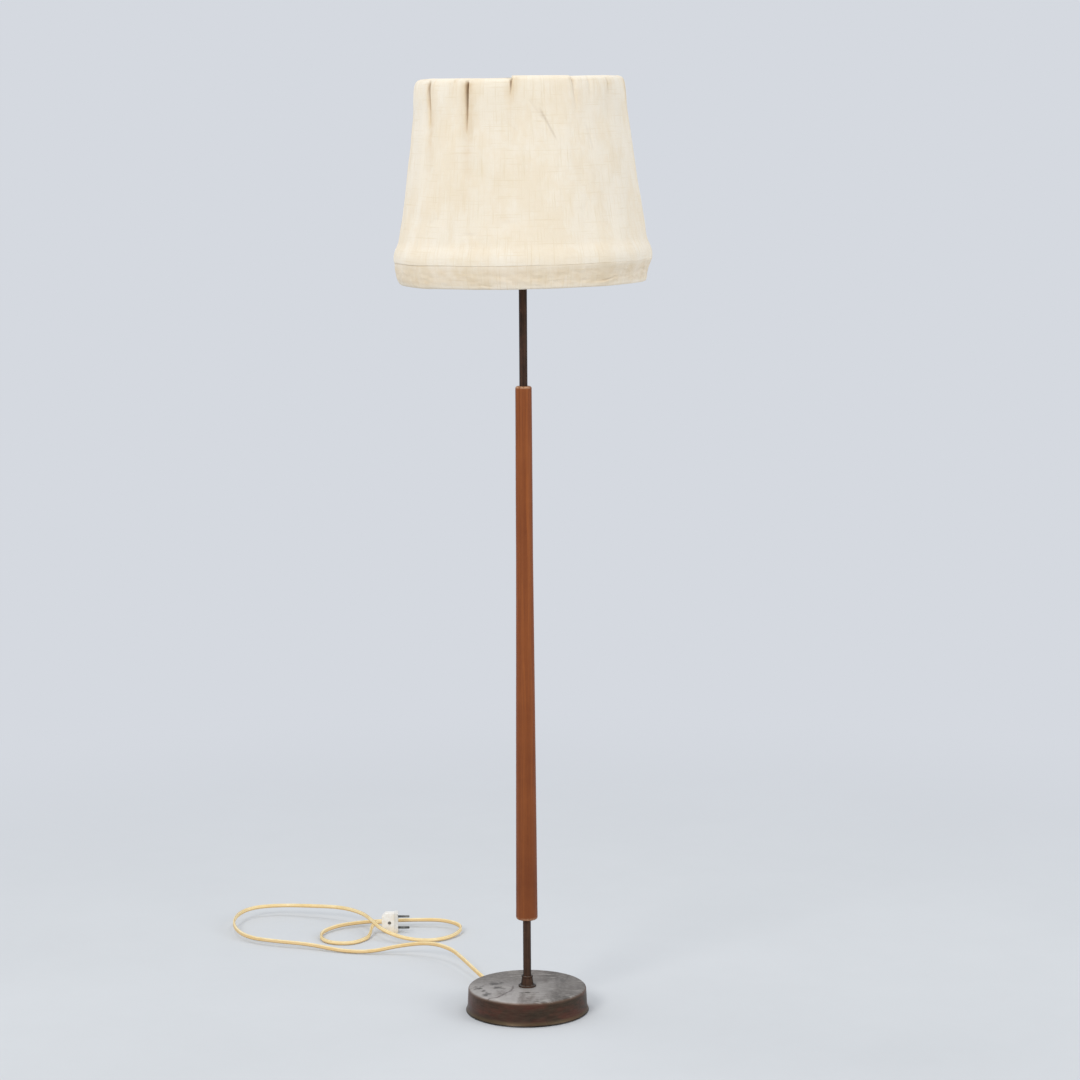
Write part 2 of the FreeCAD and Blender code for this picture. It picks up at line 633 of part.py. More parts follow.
def rib_outline():
    """Centre line of a rib as (r, z), just inside the cloth, from the top ring to the bottom one."""
    bends = []
    drops = (RIB_SHOULDER_DROP, 0.0, 0.0)
    for (down, radius), drop, slack in zip((SHADE_OUTLINE[1], SHADE_OUTLINE[3], SHADE_OUTLINE[4]),
                                           drops, RIB_SLACK):
        bends.append((radius - WIRE_INSET - slack, SHADE_TOP_Z - down - drop))
    beside_seam_ring = SEAM_RING_R - WIRE - WELD_GAP
    bends += [(beside_seam_ring, SEAM_Z + height) for height in RIB_SEAM_BEND]
    return [(TOP_RING_R, TOP_RING_Z)] + bends + [(BOTTOM_RING_R, BOTTOM_RING_Z)]


def longest_solid(shape):
    return max(shape.Solids, key=lambda s: s.Volume)


def welded_rod(outline, azimuth, *rings):
    """Rod along (r, z) points in the plane of an azimuth, trimmed where it butts on round wires."""
    away_from_seam = 10.0
    path, _ = bent_path([at(away_from_seam, r, z) for r, z in outline])
    rod = wire_rod(path)
    for radius, z in rings:
        rod = rod.cut(wire_ring(radius, z))
    rod = longest_solid(rod)
    rod.rotate(Vector(), Vector(0, 0, 1), azimuth - away_from_seam)
    return seated(rod)


def shade_rib(azimuth):
    ends = (TOP_RING_R, TOP_RING_Z), (BOTTOM_RING_R, BOTTOM_RING_Z)
    return welded_rod(rib_outline(), azimuth, *ends)


def fitter_ring():
    bore = SHELL_R + FITTER_BORE_PLAY
    return ring(bore, FITTER_R, FITTER_Z - FITTER_T / 2, FITTER_T)


def spider_arm(azimuth):
    """Rod from the top ring's inner side down to the edge of the fitter ring."""
    outline = [(TOP_RING_R, TOP_RING_Z),
               (TOP_RING_R - ARM_BEND_RUN, TOP_RING_Z - ARM_BEND_DROP),
               (ARM_ROOT_R + ARM_BEND_RUN, FITTER_Z + ARM_BEND_DROP), (ARM_ROOT_R, FITTER_Z)]
    rod = welded_rod(outline, azimuth, (TOP_RING_R, TOP_RING_Z))
    return longest_solid(rod.cut(fitter_ring()))


# ---------------------------------------------------------------- flex and plug
def stadium(width, thickness, centre, along_width, along_thickness):
    """Section of the flat flex: a slot shape in the plane of the two directions."""
    flat = (width - thickness) / 2
    half = thickness / 2
    w, t = along_width, along_thickness
    a, b = centre + w * flat + t * half, centre + w * flat - t * half
    c, d = centre - w * flat - t * half, centre - w * flat + t * half
    return Part.Wire([Part.Arc(a, centre + w * (flat + half), b).toShape(), Part.makeLine(b, c),
                      Part.Arc(c, centre - w * (flat + half), d).toShape(), Part.makeLine(d, a)])


def inner_flex():
    """The flex inside the lamp: along the weight's channel, then up the tie tube to the holder."""
    start = at(EXIT_AZ, EXIT_R, EXIT_Z)
    path, _ = bent_path([start, Vector(0, 0, EXIT_Z), Vector(0, 0, INSULATOR_Z - 2)], FLEX_BEND)
    across = radial(EXIT_AZ + 90)
    return swept(path, stadium(FLEX_W, FLEX_T, start, across, Vector(0, 0, 1)))


def cord():
    path, radii = bent_path(FLEX_ROUTE)
    tube = wire_rod(path, FLEX_W)
    plain = math.pi * (FLEX_W / 2) ** 2 * path.Length
    print("flex length %.0f mm, bends %s" % (path.Length, " ".join("%.0f" % r for r in radii)))
    print("flex volume %.0f, section times length %.0f" % (tube.Volume, plain))
    return tube


def plug_frame(shape):
    """The plug is modelled with its tail at the origin, pins along +X, standing on z = 0."""
    placed = shape.copy()
    placed.translate(Vector(PLUG_TAIL[0], PLUG_TAIL[1], 0))
    return placed


def plug_side(length, height, tail_height, tail_length):
    """Outline seen from the flat side: narrower at the tail."""
    mid = PLUG_H / 2
    points = [(0, -tail_height / 2), (tail_length, -height / 2), (length, -height / 2),
              (length, height / 2), (tail_length, height / 2), (0, tail_height / 2)]
    points = [Vector(x, 0, mid + z) for x, z in points]
    return Part.Face(Part.makePolygon(points + points[:1]))


def plug_blank():
    body = plug_side(PLUG_L, PLUG_BODY_H, PLUG_TAIL_H, PLUG_TAIL_L)
    body = body.extrude(Vector(0, PLUG_BODY_T, 0))
    body.translate(Vector(0, -PLUG_BODY_T / 2, 0))
    flange_corner = Vector(PLUG_L - PLUG_FLANGE_L, -PLUG_T / 2, 0)
    flange = Part.makeBox(PLUG_FLANGE_L, PLUG_T, PLUG_H, flange_corner)
    body = body.makeFillet(PLUG_ROUND, body.Edges)
    flange = flange.makeFillet(PLUG_ROUND, flange.Edges)
    return body.fuse(flange)


def pin_heights():
    return [PLUG_H / 2 - PIN_PITCH / 2, PLUG_H / 2 + PIN_PITCH / 2]


def pin(z):
    """One round contact pin with a rounded tip, and its thicker root inside the plug."""
    out = Vector(1, 0, 0)
    bar = round_bar(PIN_D / 2, PIN_L, Vector(PLUG_L, 0, z), out)
    tip = [e for e in bar.Edges if e.CenterOfMass.x > PLUG_L + PIN_L / 2 and len(e.Vertexes) == 1]
    root = round_bar(PIN_ROOT_D / 2, PIN_ROOT_L, Vector(PLUG_L - PIN_ROOT_L, 0, z), out)
    return bar.makeFillet(PIN_TIP_ROUND, tip).fuse(root)


def plug_pins():
    return plug_frame(Part.makeCompound([pin(z) for z in pin_heights()]))


def plug_screw():
    x, z = PLUG_L - SCREW_TO_FACE, PLUG_H / 2
    y = -PLUG_BODY_T / 2 + SCREW_HOLE_DEPTH
    head = round_bar(SCREW_HEAD_R, SCREW_HEAD_H, Vector(x, y - SCREW_HEAD_H, z), Vector(0, 1, 0))
    shank = round_bar(SCREW_R, PLUG_BODY_T / 2, Vector(x, y, z), Vector(0, 1, 0))
    slot_corner = Vector(x - SCREW_HEAD_R, y - SCREW_HEAD_H, z - SCREW_SLOT_W / 2)
    slot = Part.makeBox(2 * SCREW_HEAD_R, SCREW_SLOT_W, SCREW_SLOT_W, slot_corner)
    return plug_frame(head.fuse(shank).removeSplitter().cut(slot))


def plug_half(front):
    """Half of the plug's body, split along the plane of the two pins."""
    x, z = PLUG_L - SCREW_TO_FACE, PLUG_H / 2
    blank = plug_blank()
    root_r = PIN_ROOT_D / 2 + SLIDE_FIT
    for height in pin_heights():
        root_at = Vector(PLUG_L - PIN_ROOT_L, 0, height)
        blank = blank.cut(round_bar(root_r, PIN_ROOT_L, root_at, Vector(1, 0, 0)))
    seat = Vector(x, -PLUG_BODY_T / 2 + SCREW_HOLE_DEPTH, z)
    counterbore = round_bar(SCREW_HEAD_R + SLIDE_FIT, PLUG_T, seat, Vector(0, -1, 0))
    hole = round_bar(SCREW_R + SLIDE_FIT, PLUG_BODY_T / 2, seat, Vector(0, 1, 0))
    blank = blank.cut(counterbore).cut(hole)
    near = Part.makeBox(2 * PLUG_L, PLUG_T, 2 * PLUG_H, Vector(-PLUG_L / 2, -PLUG_T, -PLUG_H / 2))
    return plug_frame(blank.common(near) if front else blank.cut(near))


# ---------------------------------------------------------------- assembly
def all_pieces():
    pieces = {
        "base_cover": base_cover(), "base_weight": base_weight(), "base_felt": base_felt(),
        "base_washer": base_washer(), "base_locknut": base_locknut(), "cord_bushing": cord_bushing(),
        "stem_collar": stem_collar(), "lower_tube": lower_tube(), "wood_shaft": wood_shaft(),
        "upper_tube": upper_tube(), "tie_tube": tie_tube(), "top_ferrule": top_ferrule(),
        "holder_cap": holder_cap(), "holder_shell": holder_shell(),
        "holder_insulator": holder_insulator(), "holder_screw_sleeve": holder_screw_sleeve(),
        "centre_contact": centre_contact(), "terminal_screws": terminal_screws(),
        "shade_nut_lower": shade_nut(-1), "shade_nut_upper": shade_nut(1),
        "switch_spindle": switch_spindle(), "switch_key": switch_key(),
        "bulb_contact": bulb_contact(), "bulb_cap": bulb_cap(), "bulb_glass": bulb_glass(),
        "bulb_mount": bulb_mount(),
        "shade_cloth": shade_cloth(), "shade_band": shade_band(),
        "shade_top_ring": seated(wire_ring(TOP_RING_R, TOP_RING_Z)),
        "shade_seam_ring": seated(wire_ring(SEAM_RING_R, SEAM_Z)),
        "shade_bottom_ring": seated(wire_ring(BOTTOM_RING_R, BOTTOM_RING_Z)),
        "fitter_ring": fitter_ring(), "inner_flex": inner_flex(), "cord": cord(),
        "plug_half_front": plug_half(True), "plug_half_rear": plug_half(False),
        "plug_pins": plug_pins(), "plug_screw": plug_screw(),
    }
    for i in range(RIBS):
        pieces["shade_rib_%d" % (i + 1)] = shade_rib(RIB_START_AZ + i * 360.0 / RIBS)
    for i in range(ARMS):
        azimuth = RIB_START_AZ + ARM_BESIDE_RIB + i * 360.0 / ARMS
        pieces["spider_arm_%d" % (i + 1)] = spider_arm(azimuth)
    return pieces


def main():
    os.makedirs("parts", exist_ok=True)
    for name, shape in all_pieces().items():
        if not shape.isValid():
            print("not valid:", name)
        shape.exportStep("parts/%s.step" % name)
        print("%-20s solids %d volume %.0f" % (name, len(shape.Solids), shape.Volume))


main()
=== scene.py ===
"""Candlestick floor lamp: shade cloth, flex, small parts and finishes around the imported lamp.

Metres, +Z up, the lamp's front looks towards -Y. Sizes in millimetres are multiplied by MM;
the shade's tables and functions count in millimetres until a point is placed.
"""
from math import acos, cos, exp, pi, radians, sin, sqrt

import bmesh
import bpy
from mathutils import Matrix, Vector, noise


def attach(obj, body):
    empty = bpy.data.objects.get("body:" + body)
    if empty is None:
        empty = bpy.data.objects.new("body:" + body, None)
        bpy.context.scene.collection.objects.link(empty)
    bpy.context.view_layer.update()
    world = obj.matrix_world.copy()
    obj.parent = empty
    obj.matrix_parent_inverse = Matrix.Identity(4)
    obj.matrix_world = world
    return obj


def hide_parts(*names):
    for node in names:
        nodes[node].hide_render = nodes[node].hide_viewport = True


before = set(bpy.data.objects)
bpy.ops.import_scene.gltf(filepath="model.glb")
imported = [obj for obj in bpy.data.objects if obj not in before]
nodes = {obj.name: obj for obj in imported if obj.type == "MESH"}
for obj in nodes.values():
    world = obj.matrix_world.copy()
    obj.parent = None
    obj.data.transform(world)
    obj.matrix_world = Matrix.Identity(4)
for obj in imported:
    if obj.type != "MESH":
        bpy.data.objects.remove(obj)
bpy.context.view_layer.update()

MM = 0.001


# ---------------- finishes: building blocks
def paint(red, green, blue):
    """Screen colour from 0 to 255 as the shader's linear colour."""
    linear = []
    for value in (red, green, blue):
        c = value / 255
        linear.append(c / 12.92 if c <= 0.04045 else ((c + 0.055) / 1.055) ** 2.4)
    return (*linear, 1)


class Recipe:
    """Nodes and links of one finish or one shared effect, added one after the other."""

    def __init__(self, tree):
        self.tree = tree

    def add(self, kind, inputs=None, **settings):
        node = self.tree.nodes.new("ShaderNode" + kind)
        for name, value in settings.items():
            setattr(node, name, value)
        for name, value in (inputs or {}).items():
            self.feed(node.inputs[name], value)
        return node

    def feed(self, socket, value):
        if isinstance(value, bpy.types.NodeSocket):
            self.tree.links.new(value, socket)
        else:
            socket.default_value = value

    def math(self, operation, *values):
        node = self.add("Math", operation=operation)
        for socket, value in zip(node.inputs, values):
            self.feed(socket, value)
        return node.outputs[0]

    def times(self, first, second):
        return self.math("MULTIPLY", first, second)

    def vector(self, operation, first, second=(0, 0, 0)):
        """Vector maths; the answer of LENGTH is a number."""
        node = self.add("VectorMath", {0: first, 1: second}, operation=operation)
        return node.outputs["Value" if operation == "LENGTH" else "Vector"]

    def joined(self, x, y=0, z=0):
        return self.add("CombineXYZ", {"X": x, "Y": y, "Z": z}).outputs["Vector"]

    def parts(self, vector):
        return self.add("SeparateXYZ", {"Vector": vector}).outputs

    def ramp(self, value, low, high, to_low=0, to_high=1):
        """Smooth step from to_low at low to to_high at high."""
        node = self.add("MapRange", {"Value": value, "From Min": low, "From Max": high,
                                     "To Min": to_low, "To Max": to_high},
                        interpolation_type="SMOOTHSTEP")
        return node.outputs["Result"]

    def mix(self, share, first, second):
        node = self.add("Mix", {"Factor": share}, data_type="RGBA")
        self.feed(node.inputs[6], first)
        self.feed(node.inputs[7], second)
        return node.outputs[2]

    def glaze(self, colour, *layers):
        """Lays tones over a colour, each one as (mask, share of the mask, screen colour)."""
        for mask, share, tone in layers:
            colour = self.mix(self.times(mask, share), colour, paint(*tone))
        return colour

    def noise(self, vector, scale, detail=4, rough=0.55):
        return self.add("TexNoise", {"Vector": vector, "Scale": scale, "Detail": detail,
                                     "Roughness": rough}).outputs["Fac"]

    def stretch(self, vector, scale, turn=(0, 0, 0)):
        return self.add("Mapping", {"Vector": vector, "Scale": scale,
                                    "Rotation": turn}).outputs["Vector"]

    def surface(self, colour, rough, relief, depth, **more):
        """What feeds the shader, with a relief of this depth in mm."""
        bump = self.add("Bump", {"Height": relief, "Strength": 1, "Distance": depth * MM})
        return {"Base_Color": colour, "Roughness": rough, "Normal": bump.outputs["Normal"], **more}

    def effect(self, group, **inputs):
        return self.add("Group", inputs, node_tree=group).outputs

    def mottle(self, vector, scale, softness):
        return self.effect(MOTTLE, Vector=vector, Scale=scale, Softness=softness)["Mask"]

    def streaks(self, vector, across, along):
        return self.effect(STREAKS, Vector=vector, Across=across, Along=along)["Mask"]

    def dust(self, vector, amount):
        return self.effect(DUST, Vector=vector, Amount=amount)["Mask"]


def shared_effect(name, build, outputs=("Mask",), **inputs):
    """Node group that several finishes use; an input without a value is a vector."""
    group = bpy.data.node_groups.new(name, "ShaderNodeTree")
    for label, value in inputs.items():
        kind = "NodeSocketVector" if value is None else "NodeSocketFloat"
        socket = group.interface.new_socket(name=label, in_out="INPUT", socket_type=kind)
        if value is not None:
            socket.default_value = value
    for label in outputs:
        group.interface.new_socket(name=label, in_out="OUTPUT", socket_type="NodeSocketFloat")
    entry = group.nodes.new("NodeGroupInput")
    result = build(Recipe(group), entry.outputs)
    leave = group.nodes.new("NodeGroupOutput")
    for label, socket in result.items():
        group.links.new(socket, leave.inputs[label])
    return group


def finish(name, build, **constants):
    """Material with one Principled shader; build returns what feeds its sockets."""
    material = bpy.data.materials.new(name)
    material.use_nodes = True
    recipe = Recipe(material.node_tree)
    shader = next(n for n in material.node_tree.nodes if n.type == "BSDF_PRINCIPLED")
    place = recipe.add("TexCoord")
    for label, value in {**constants, **build(recipe, place.outputs)}.items():
        recipe.feed(shader.inputs[label.replace("_", " ")], value)
    return material


def build_mottle(r, given):
    """Blotches of two sizes, from 0 to 1, as in patina, stains and uneven dye."""
    broad = r.noise(given["Vector"], given["Scale"], 3, 0.5)
    fine = r.noise(given["Vector"], r.times(given["Scale"], 5.3), 5, 0.6)
    both = r.math("ADD", r.times(broad, 0.65), r.times(fine, 0.35))
    low = r.math("SUBTRACT", 0.5, given["Softness"])
    high = r.math("ADD", 0.5, given["Softness"])
    return {"Mask": r.ramp(both, low, high)}


def build_streaks(r, given):
    """Long fine lines along Z, as in wood grain and drawn brass."""
    spread = r.joined(given["Across"], given["Across"], given["Along"])
    lines = r.noise(r.vector("MULTIPLY", given["Vector"], spread), 1, 5, 0.62)
    return {"Mask": r.ramp(lines, 0.36, 0.64)}


def build_scratches(r, given):
    """Thin crossing scratches: the edges of large, stretched cells in three directions."""
    total = 0
    warp = r.noise(given["Vector"], 9, 2)
    for turn, seed in ((0.35, 0), (1.45, 7.3), (2.5, 3.1)):
        offset = r.joined(r.math("MULTIPLY_ADD", warp, 0.05, seed))
        bent = r.vector("ADD", given["Vector"], offset)
        cells = r.add("TexVoronoi", feature="DISTANCE_TO_EDGE", inputs={
            "Vector": r.stretch(bent, (6, 60, 6), (0, 0, turn)),
            "Scale": given["Scale"]}).outputs["Distance"]
        line = r.ramp(cells, 0, given["Width"], 1, 0)
        patch = r.ramp(r.noise(given["Vector"], 23 + seed, 2), 0.5, 0.66)
        total = r.math("MAXIMUM", total, r.times(line, patch))
    return {"Mask": total}


def build_weave(r, given):
    """Plain weave in UV metres: crossing threads, with thick slubs here and there."""
    uv = r.parts(given["UV"])
    wobble = r.times(r.noise(given["UV"], 240, 2), 1.6)
    warp, weft = (r.math("SINE", r.math("ADD", r.times(uv[way], given["Threads"]), wobble))
                  for way in "XY")
    cross = r.math("MULTIPLY_ADD", r.times(warp, weft), 0.5, 0.5)
    slub_up = r.noise(r.stretch(given["UV"], (480, 17, 1)), 1, 3)
    slub_round = r.noise(r.stretch(given["UV"], (15, 430, 1)), 1, 3)
    slubs = r.math("MAXIMUM", r.ramp(slub_up, 0.52, 0.7), r.ramp(slub_round, 0.54, 0.72))
    return {"Height": r.math("MULTIPLY_ADD", slubs, 0.8, cross), "Slubs": slubs}


def build_dust(r, given):
    """Fine dust that lies on what faces up."""
    normal = r.add("NewGeometry").outputs["Normal"]
    lying = r.ramp(r.parts(normal)["Z"], 0.35, 0.95)
    grain = r.ramp(r.noise(given["Vector"], 190, 3), 0.3, 0.75)
    return {"Mask": r.times(r.times(lying, grain), given["Amount"])}


MOTTLE = shared_effect("mottle", build_mottle, Vector=None, Scale=20, Softness=0.18)
STREAKS = shared_effect("streaks", build_streaks, Vector=None, Across=300, Along=6)
SCRATCHES = shared_effect("scratches", build_scratches, Vector=None, Scale=1, Width=0.02)
WEAVE = shared_effect("weave", build_weave, ("Height", "Slubs"), UV=None, Threads=6000)
DUST = shared_effect("dust", build_dust, Vector=None, Amount=0.3)

# ---------------- finishes: brass and iron
# heights on the base: where a tone begins and where it is full
BASE_TOP_Z = 37 * MM
WORN_TOP = 33.5 * MM, 36.6 * MM
EDGE_RING = (36.9 * MM, 35.4 * MM), (31 * MM, 34.5 * MM)    # from above and from below
SKIRT_LOW = 9 * MM, 4 * MM
# painted shadow: the skirt's foot goes near black, as the shade of the gap under its rim
SKIRT_FOOT_PAINTED_SHADOW = 3.4 * MM, 1.8 * MM
# painted shade: the top darkens towards the right and the rear
TOP_RIGHT_PAINTED_SHADE = -10 * MM, 60 * MM
TOP_REAR_PAINTED_SHADE = -40 * MM, 50 * MM
# dark marks rubbed into the top: place, length and width in mm, turn in radians
BASE_MARKS = [(-49, 11, 15, 9, 0.3), (-62, -43, 9, 15, -0.4), (-76, -10, 12, 9, 0.8),
              (-44, -9, 12, 8, -0.5), (1, -35, 16, 4, 0.05), (-66, -26, 9, 5, 1.1)]
MARK_REACH_Z = 20 * MM
ARC_CENTRE = -104 * MM, 2 * MM, BASE_TOP_Z
ARC_R = 89 * MM
ARC_RAGGED = 12 * MM
ARC_LINE = 0.8 * MM, 2.6 * MM         # half width of its dark core and of its faint side
ARC_END_Y = 8 * MM, -8 * MM


def base_brass(r, place):
    """Patinated brass of the base: grey worn top with scratches and marks and painted shade
    towards its right and rear, brown skirt with a painted shadow at its foot.
    """
    spot = place["Object"]
    parts = r.parts(spot)
    top = r.ramp(parts["Z"], *WORN_TOP)
    blotch, clouds = r.mottle(spot, 16, 0.2), r.mottle(spot, 42, 0.14)
    drawn = r.streaks(spot, 70, 900)
    scratches = r.effect(SCRATCHES, Vector=spot, Scale=1.3, Width=0.035)["Mask"]
    red = r.ramp(r.noise(r.stretch(spot, (14, 14, 36)), 1.4, 3), 0.48, 0.68)
    skirt = r.glaze(r.mix(blotch, paint(70, 42, 31), paint(50, 42, 29)),
                    (red, 0.5, (104, 48, 36)), (clouds, 0.3, (40, 34, 27)),
                    (r.ramp(parts["Z"], *SKIRT_LOW), 0.55, (88, 74, 46)),
                    # painted shadow at the foot of the skirt
                    (r.ramp(parts["Z"], *SKIRT_FOOT_PAINTED_SHADOW), 0.92, (14, 11, 9)),
                    (drawn, 0.18, (112, 92, 74)))
    # painted shade: the grey of the top and its darker streaks deepen towards the right and the
    # rear
    right_painted_shade, rear_painted_shade = r.ramp(parts["X"], *TOP_RIGHT_PAINTED_SHADE), r.ramp(parts["Y"], *TOP_REAR_PAINTED_SHADE)
    grey = r.mix(r.math("MAXIMUM", right_painted_shade, rear_painted_shade), paint(172, 166, 161),
                 paint(108, 102, 96))
    sweep = r.noise(r.stretch(spot, (26, 9, 10), (0, 0, 0.55)), 1, 5, 0.62)
    darker = r.mix(right_painted_shade, paint(122, 114, 108), paint(72, 67, 61))
    dents = marks(r, spot)
    plate = r.glaze(r.mix(r.ramp(sweep, 0.48, 0.64), grey, darker),
                    (clouds, 0.25, (96, 88, 82)), (scratches, 0.6, (196, 190, 182)),
                    (dents, 0.85, (52, 46, 40)), (worn_arc(r, spot), 0.7, (78, 64, 62)))
    ring = r.times(*(r.ramp(parts["Z"], *span) for span in EDGE_RING))
    colour = r.glaze(r.mix(top, skirt, plate), (ring, 0.5, (104, 78, 62)),
                     (r.dust(spot, 0.22), 1, (176, 172, 166)))
    rough = r.math("ADD", r.ramp(blotch, 0, 1, 0.38, 0.52), r.times(top, 0.12))
    height = r.math("MULTIPLY_ADD", scratches, -0.5, r.times(clouds, 0.35))
    height = r.math("MULTIPLY_ADD", dents, -1.6, height)
    return r.surface(colour, rough, height, 0.25, Metallic=r.ramp(top, 0, 1, 0.45, 0.3))


def worn_arc(r, spot):
    """Thin dark rub mark that curves from the collar to the front left of the base's top."""
    away = r.vector("LENGTH", r.vector("SUBTRACT", spot, ARC_CENTRE))
    ragged = r.math("MULTIPLY_ADD", r.noise(spot, 45, 3), ARC_RAGGED, away)
    off = r.math("ABSOLUTE", r.math("SUBTRACT", ragged, ARC_R))
    line = r.ramp(off, *ARC_LINE, 1, 0)
    return r.times(line, r.ramp(r.parts(spot)["Y"], *ARC_END_Y))


def marks(r, spot):
    """Mask of the dark marks on the base's top, ragged at their edges."""
    total = 0
    for x, y, long, wide, turn in BASE_MARKS:
        there = r.add("Mapping", vector_type="TEXTURE", inputs={
            "Vector": spot, "Location": (x * MM, y * MM, BASE_TOP_Z), "Rotation": (0, 0, turn),
            "Scale": (long * MM, wide * MM, MARK_REACH_Z)}).outputs["Vector"]
        rough = r.noise(spot, 125, 5, 0.65)
        ragged = r.math("MULTIPLY_ADD", rough, 3.4, r.vector("LENGTH", there))
        total = r.math("MAXIMUM", r.ramp(ragged, 1.9, 2.7, 1, 0), total)
    return total


def tube_brass(r, place):
    """Dark brown patina of the drawn tubes, collar and ferrule, rubbed lighter in streaks, with
    painted shade and dark reflection near black along the edges seen side-on.
    """
    spot = place["Object"]
    streaks, blotch = r.streaks(spot, 420, 14), r.mottle(spot, 55, 0.16)
    worn = r.ramp(r.noise(spot, 130, 5, 0.7), 0.62, 0.74)
    # painted shade and dark reflection: near black where the surface turns away from the view
    side_on_painted_shade = r.add("LayerWeight", {"Blend": 0.42}).outputs["Facing"]
    colour = r.glaze(r.mix(blotch, paint(72, 50, 40), paint(50, 37, 29)),
                     (streaks, 0.45, (92, 68, 52)), (worn, 0.6, (134, 104, 76)),
                     (r.ramp(side_on_painted_shade, 0.25, 0.75), 0.92, (16, 12, 10)),
                     (r.dust(spot, 0.3), 1, (160, 152, 142)))
    height = r.math("ADD", r.times(streaks, 0.4), r.times(blotch, 0.6))
    return r.surface(colour, r.ramp(streaks, 0, 1, 0.36, 0.54), height, 0.05,
                     Metallic=r.ramp(blotch, 0, 1, 0.3, 0.2))


def bare_metal(light, dark, scale, rough_low, rough_high):
    """Recipe for a plain metal with stains and a fine brushed surface."""
    def build(r, place):
        spot = place["Object"]
        stain, brushed = r.mottle(spot, scale, 0.2), r.streaks(spot, 900, 60)
        rough = r.ramp(r.math("ADD", stain, brushed), 0, 2, rough_low, rough_high)
        return r.surface(r.mix(stain, paint(*light), paint(*dark)), rough, brushed, 0.02)
    return build


def cast_iron(r, place):
    grit = r.noise(place["Object"], 700, 5, 0.7)
    rust = r.mottle(place["Object"], 60, 0.12)
    colour = r.glaze(paint(52, 50, 49), (rust, 0.5, (98, 62, 42)))
    return r.surface(colour, r.ramp(grit, 0.2, 0.8, 0.7, 0.95), grit, 0.4)


def felt(r, place):
    crossed = r.stretch(place["Object"], (900, 1500, 700), (0.4, 0.2, 0.7))
    fibres = r.noise(crossed, 1, 6, 0.75)
    colour = r.mix(r.ramp(fibres, 0.3, 0.7), paint(52, 60, 48), paint(84, 92, 74))
    return r.surface(colour, r.ramp(fibres, 0.3, 0.7, 0.9, 1), fibres, 0.4)


# ---------------- finishes: wood
# heights on the shaft: where a tone begins and where it is full
# painted shade: the shaft darkens towards its foot
WOOD_FOOT_PAINTED_SHADE = 620 * MM, 150 * MM
WOOD_TOP_RUBBED = 947 * MM, 950.2 * MM
WOOD_FOOT_RUBBED = 147.5 * MM, 143.5 * MM


def teak(r, place):
    """Oiled teak: fine darker grain lines and pores along the shaft, paler rubbed ends, and
    painted shade darkening it towards its foot.
    """
    spot = place["Object"]
    height = r.parts(spot)["Z"]
    sway = r.noise(r.stretch(spot, (20, 20, 3)), 1, 2)
    shift = r.math("MULTIPLY_ADD", sway, 8 * MM, -4 * MM)
    swayed = r.vector("ADD", spot, r.joined(shift, shift))
    broad, grain = r.streaks(swayed, 150, 2.2), r.streaks(swayed, 520, 7)
    pores = r.noise(r.stretch(swayed, (2300, 2300, 60)), 1, 3, 0.6)
    pores = r.ramp(pores, 0.60, 0.72)
    foot = r.times(r.ramp(height, *WOOD_FOOT_RUBBED), 0.55)
    rubbed = r.times(r.math("MAXIMUM", r.ramp(height, *WOOD_TOP_RUBBED), foot),
                     r.ramp(r.noise(spot, 240, 3), 0.25, 0.65))
    colour = r.glaze(r.mix(broad, paint(148, 81, 35), paint(120, 60, 24)),
                     (grain, 0.5, (112, 56, 27)), (pores, 0.5, (78, 38, 20)),
                     (r.ramp(height, *WOOD_FOOT_PAINTED_SHADE), 0.5, (96, 47, 20)),
                     (r.mottle(spot, 7, 0.25), 0.3, (166, 96, 46)),
                     (rubbed, 0.85, (206, 168, 134)))
    relief = r.math("SUBTRACT", r.times(grain, 0.25), pores)
    return r.surface(colour, r.ramp(grain, 0, 1, 0.42, 0.58), relief, 0.06)


# ---------------- finishes: cloth
def linen(fresh, aged, spotted, soil_share):
    """Recipe for the shade's yellowed linen: weave, slubs and soft stains, with painted shade in
    the weave's hollows and inside its folds and creases.
    """
    def build(r, place):
        weave = r.effect(WEAVE, UV=place["UV"], Threads=5200)
        spot = place["Object"]
        stain = r.mottle(r.stretch(spot, (1, 1, 0.5)), 23, 0.09)
        # painted shade in the weave's hollows between the threads
        between = r.ramp(weave["Height"], 0, 0.45, 1, 0)
        worn, fold_painted_shade = (r.add("Attribute", attribute_name=name).outputs["Fac"]
                      for name in ("stained", "fold_painted_shade"))
        patchy = r.ramp(r.noise(spot, 60, 4), 0.25, 0.7, 0.3, 1)
        colour = r.glaze(r.mix(r.mottle(spot, 7.5, 0.22), paint(*fresh), paint(*aged)),
                         (stain, 0.4, spotted), (weave["Slubs"], 0.3, (218, 196, 154)),
                         # painted shade of the weave's hollows
                         (between, 0.16, (196, 172, 132)),
                         (r.times(worn, patchy), soil_share, (214, 184, 138)),
                         # painted shade inside the folds and creases
                         (r.ramp(fold_painted_shade, 0.05, 0.95), 0.9, (134, 98, 60)))
        return r.surface(colour, r.ramp(stain, 0, 1, 0.86, 0.95), weave["Height"], 0.16)
    return build


# ---------------- finishes: flex, plug, lampholder
PLUG_FACE_X = -216.5 * MM     # the plug's pin face
PLUG_FLANGE_L = 6 * MM
PLUG_UNDER = 13 * MM, 2 * MM


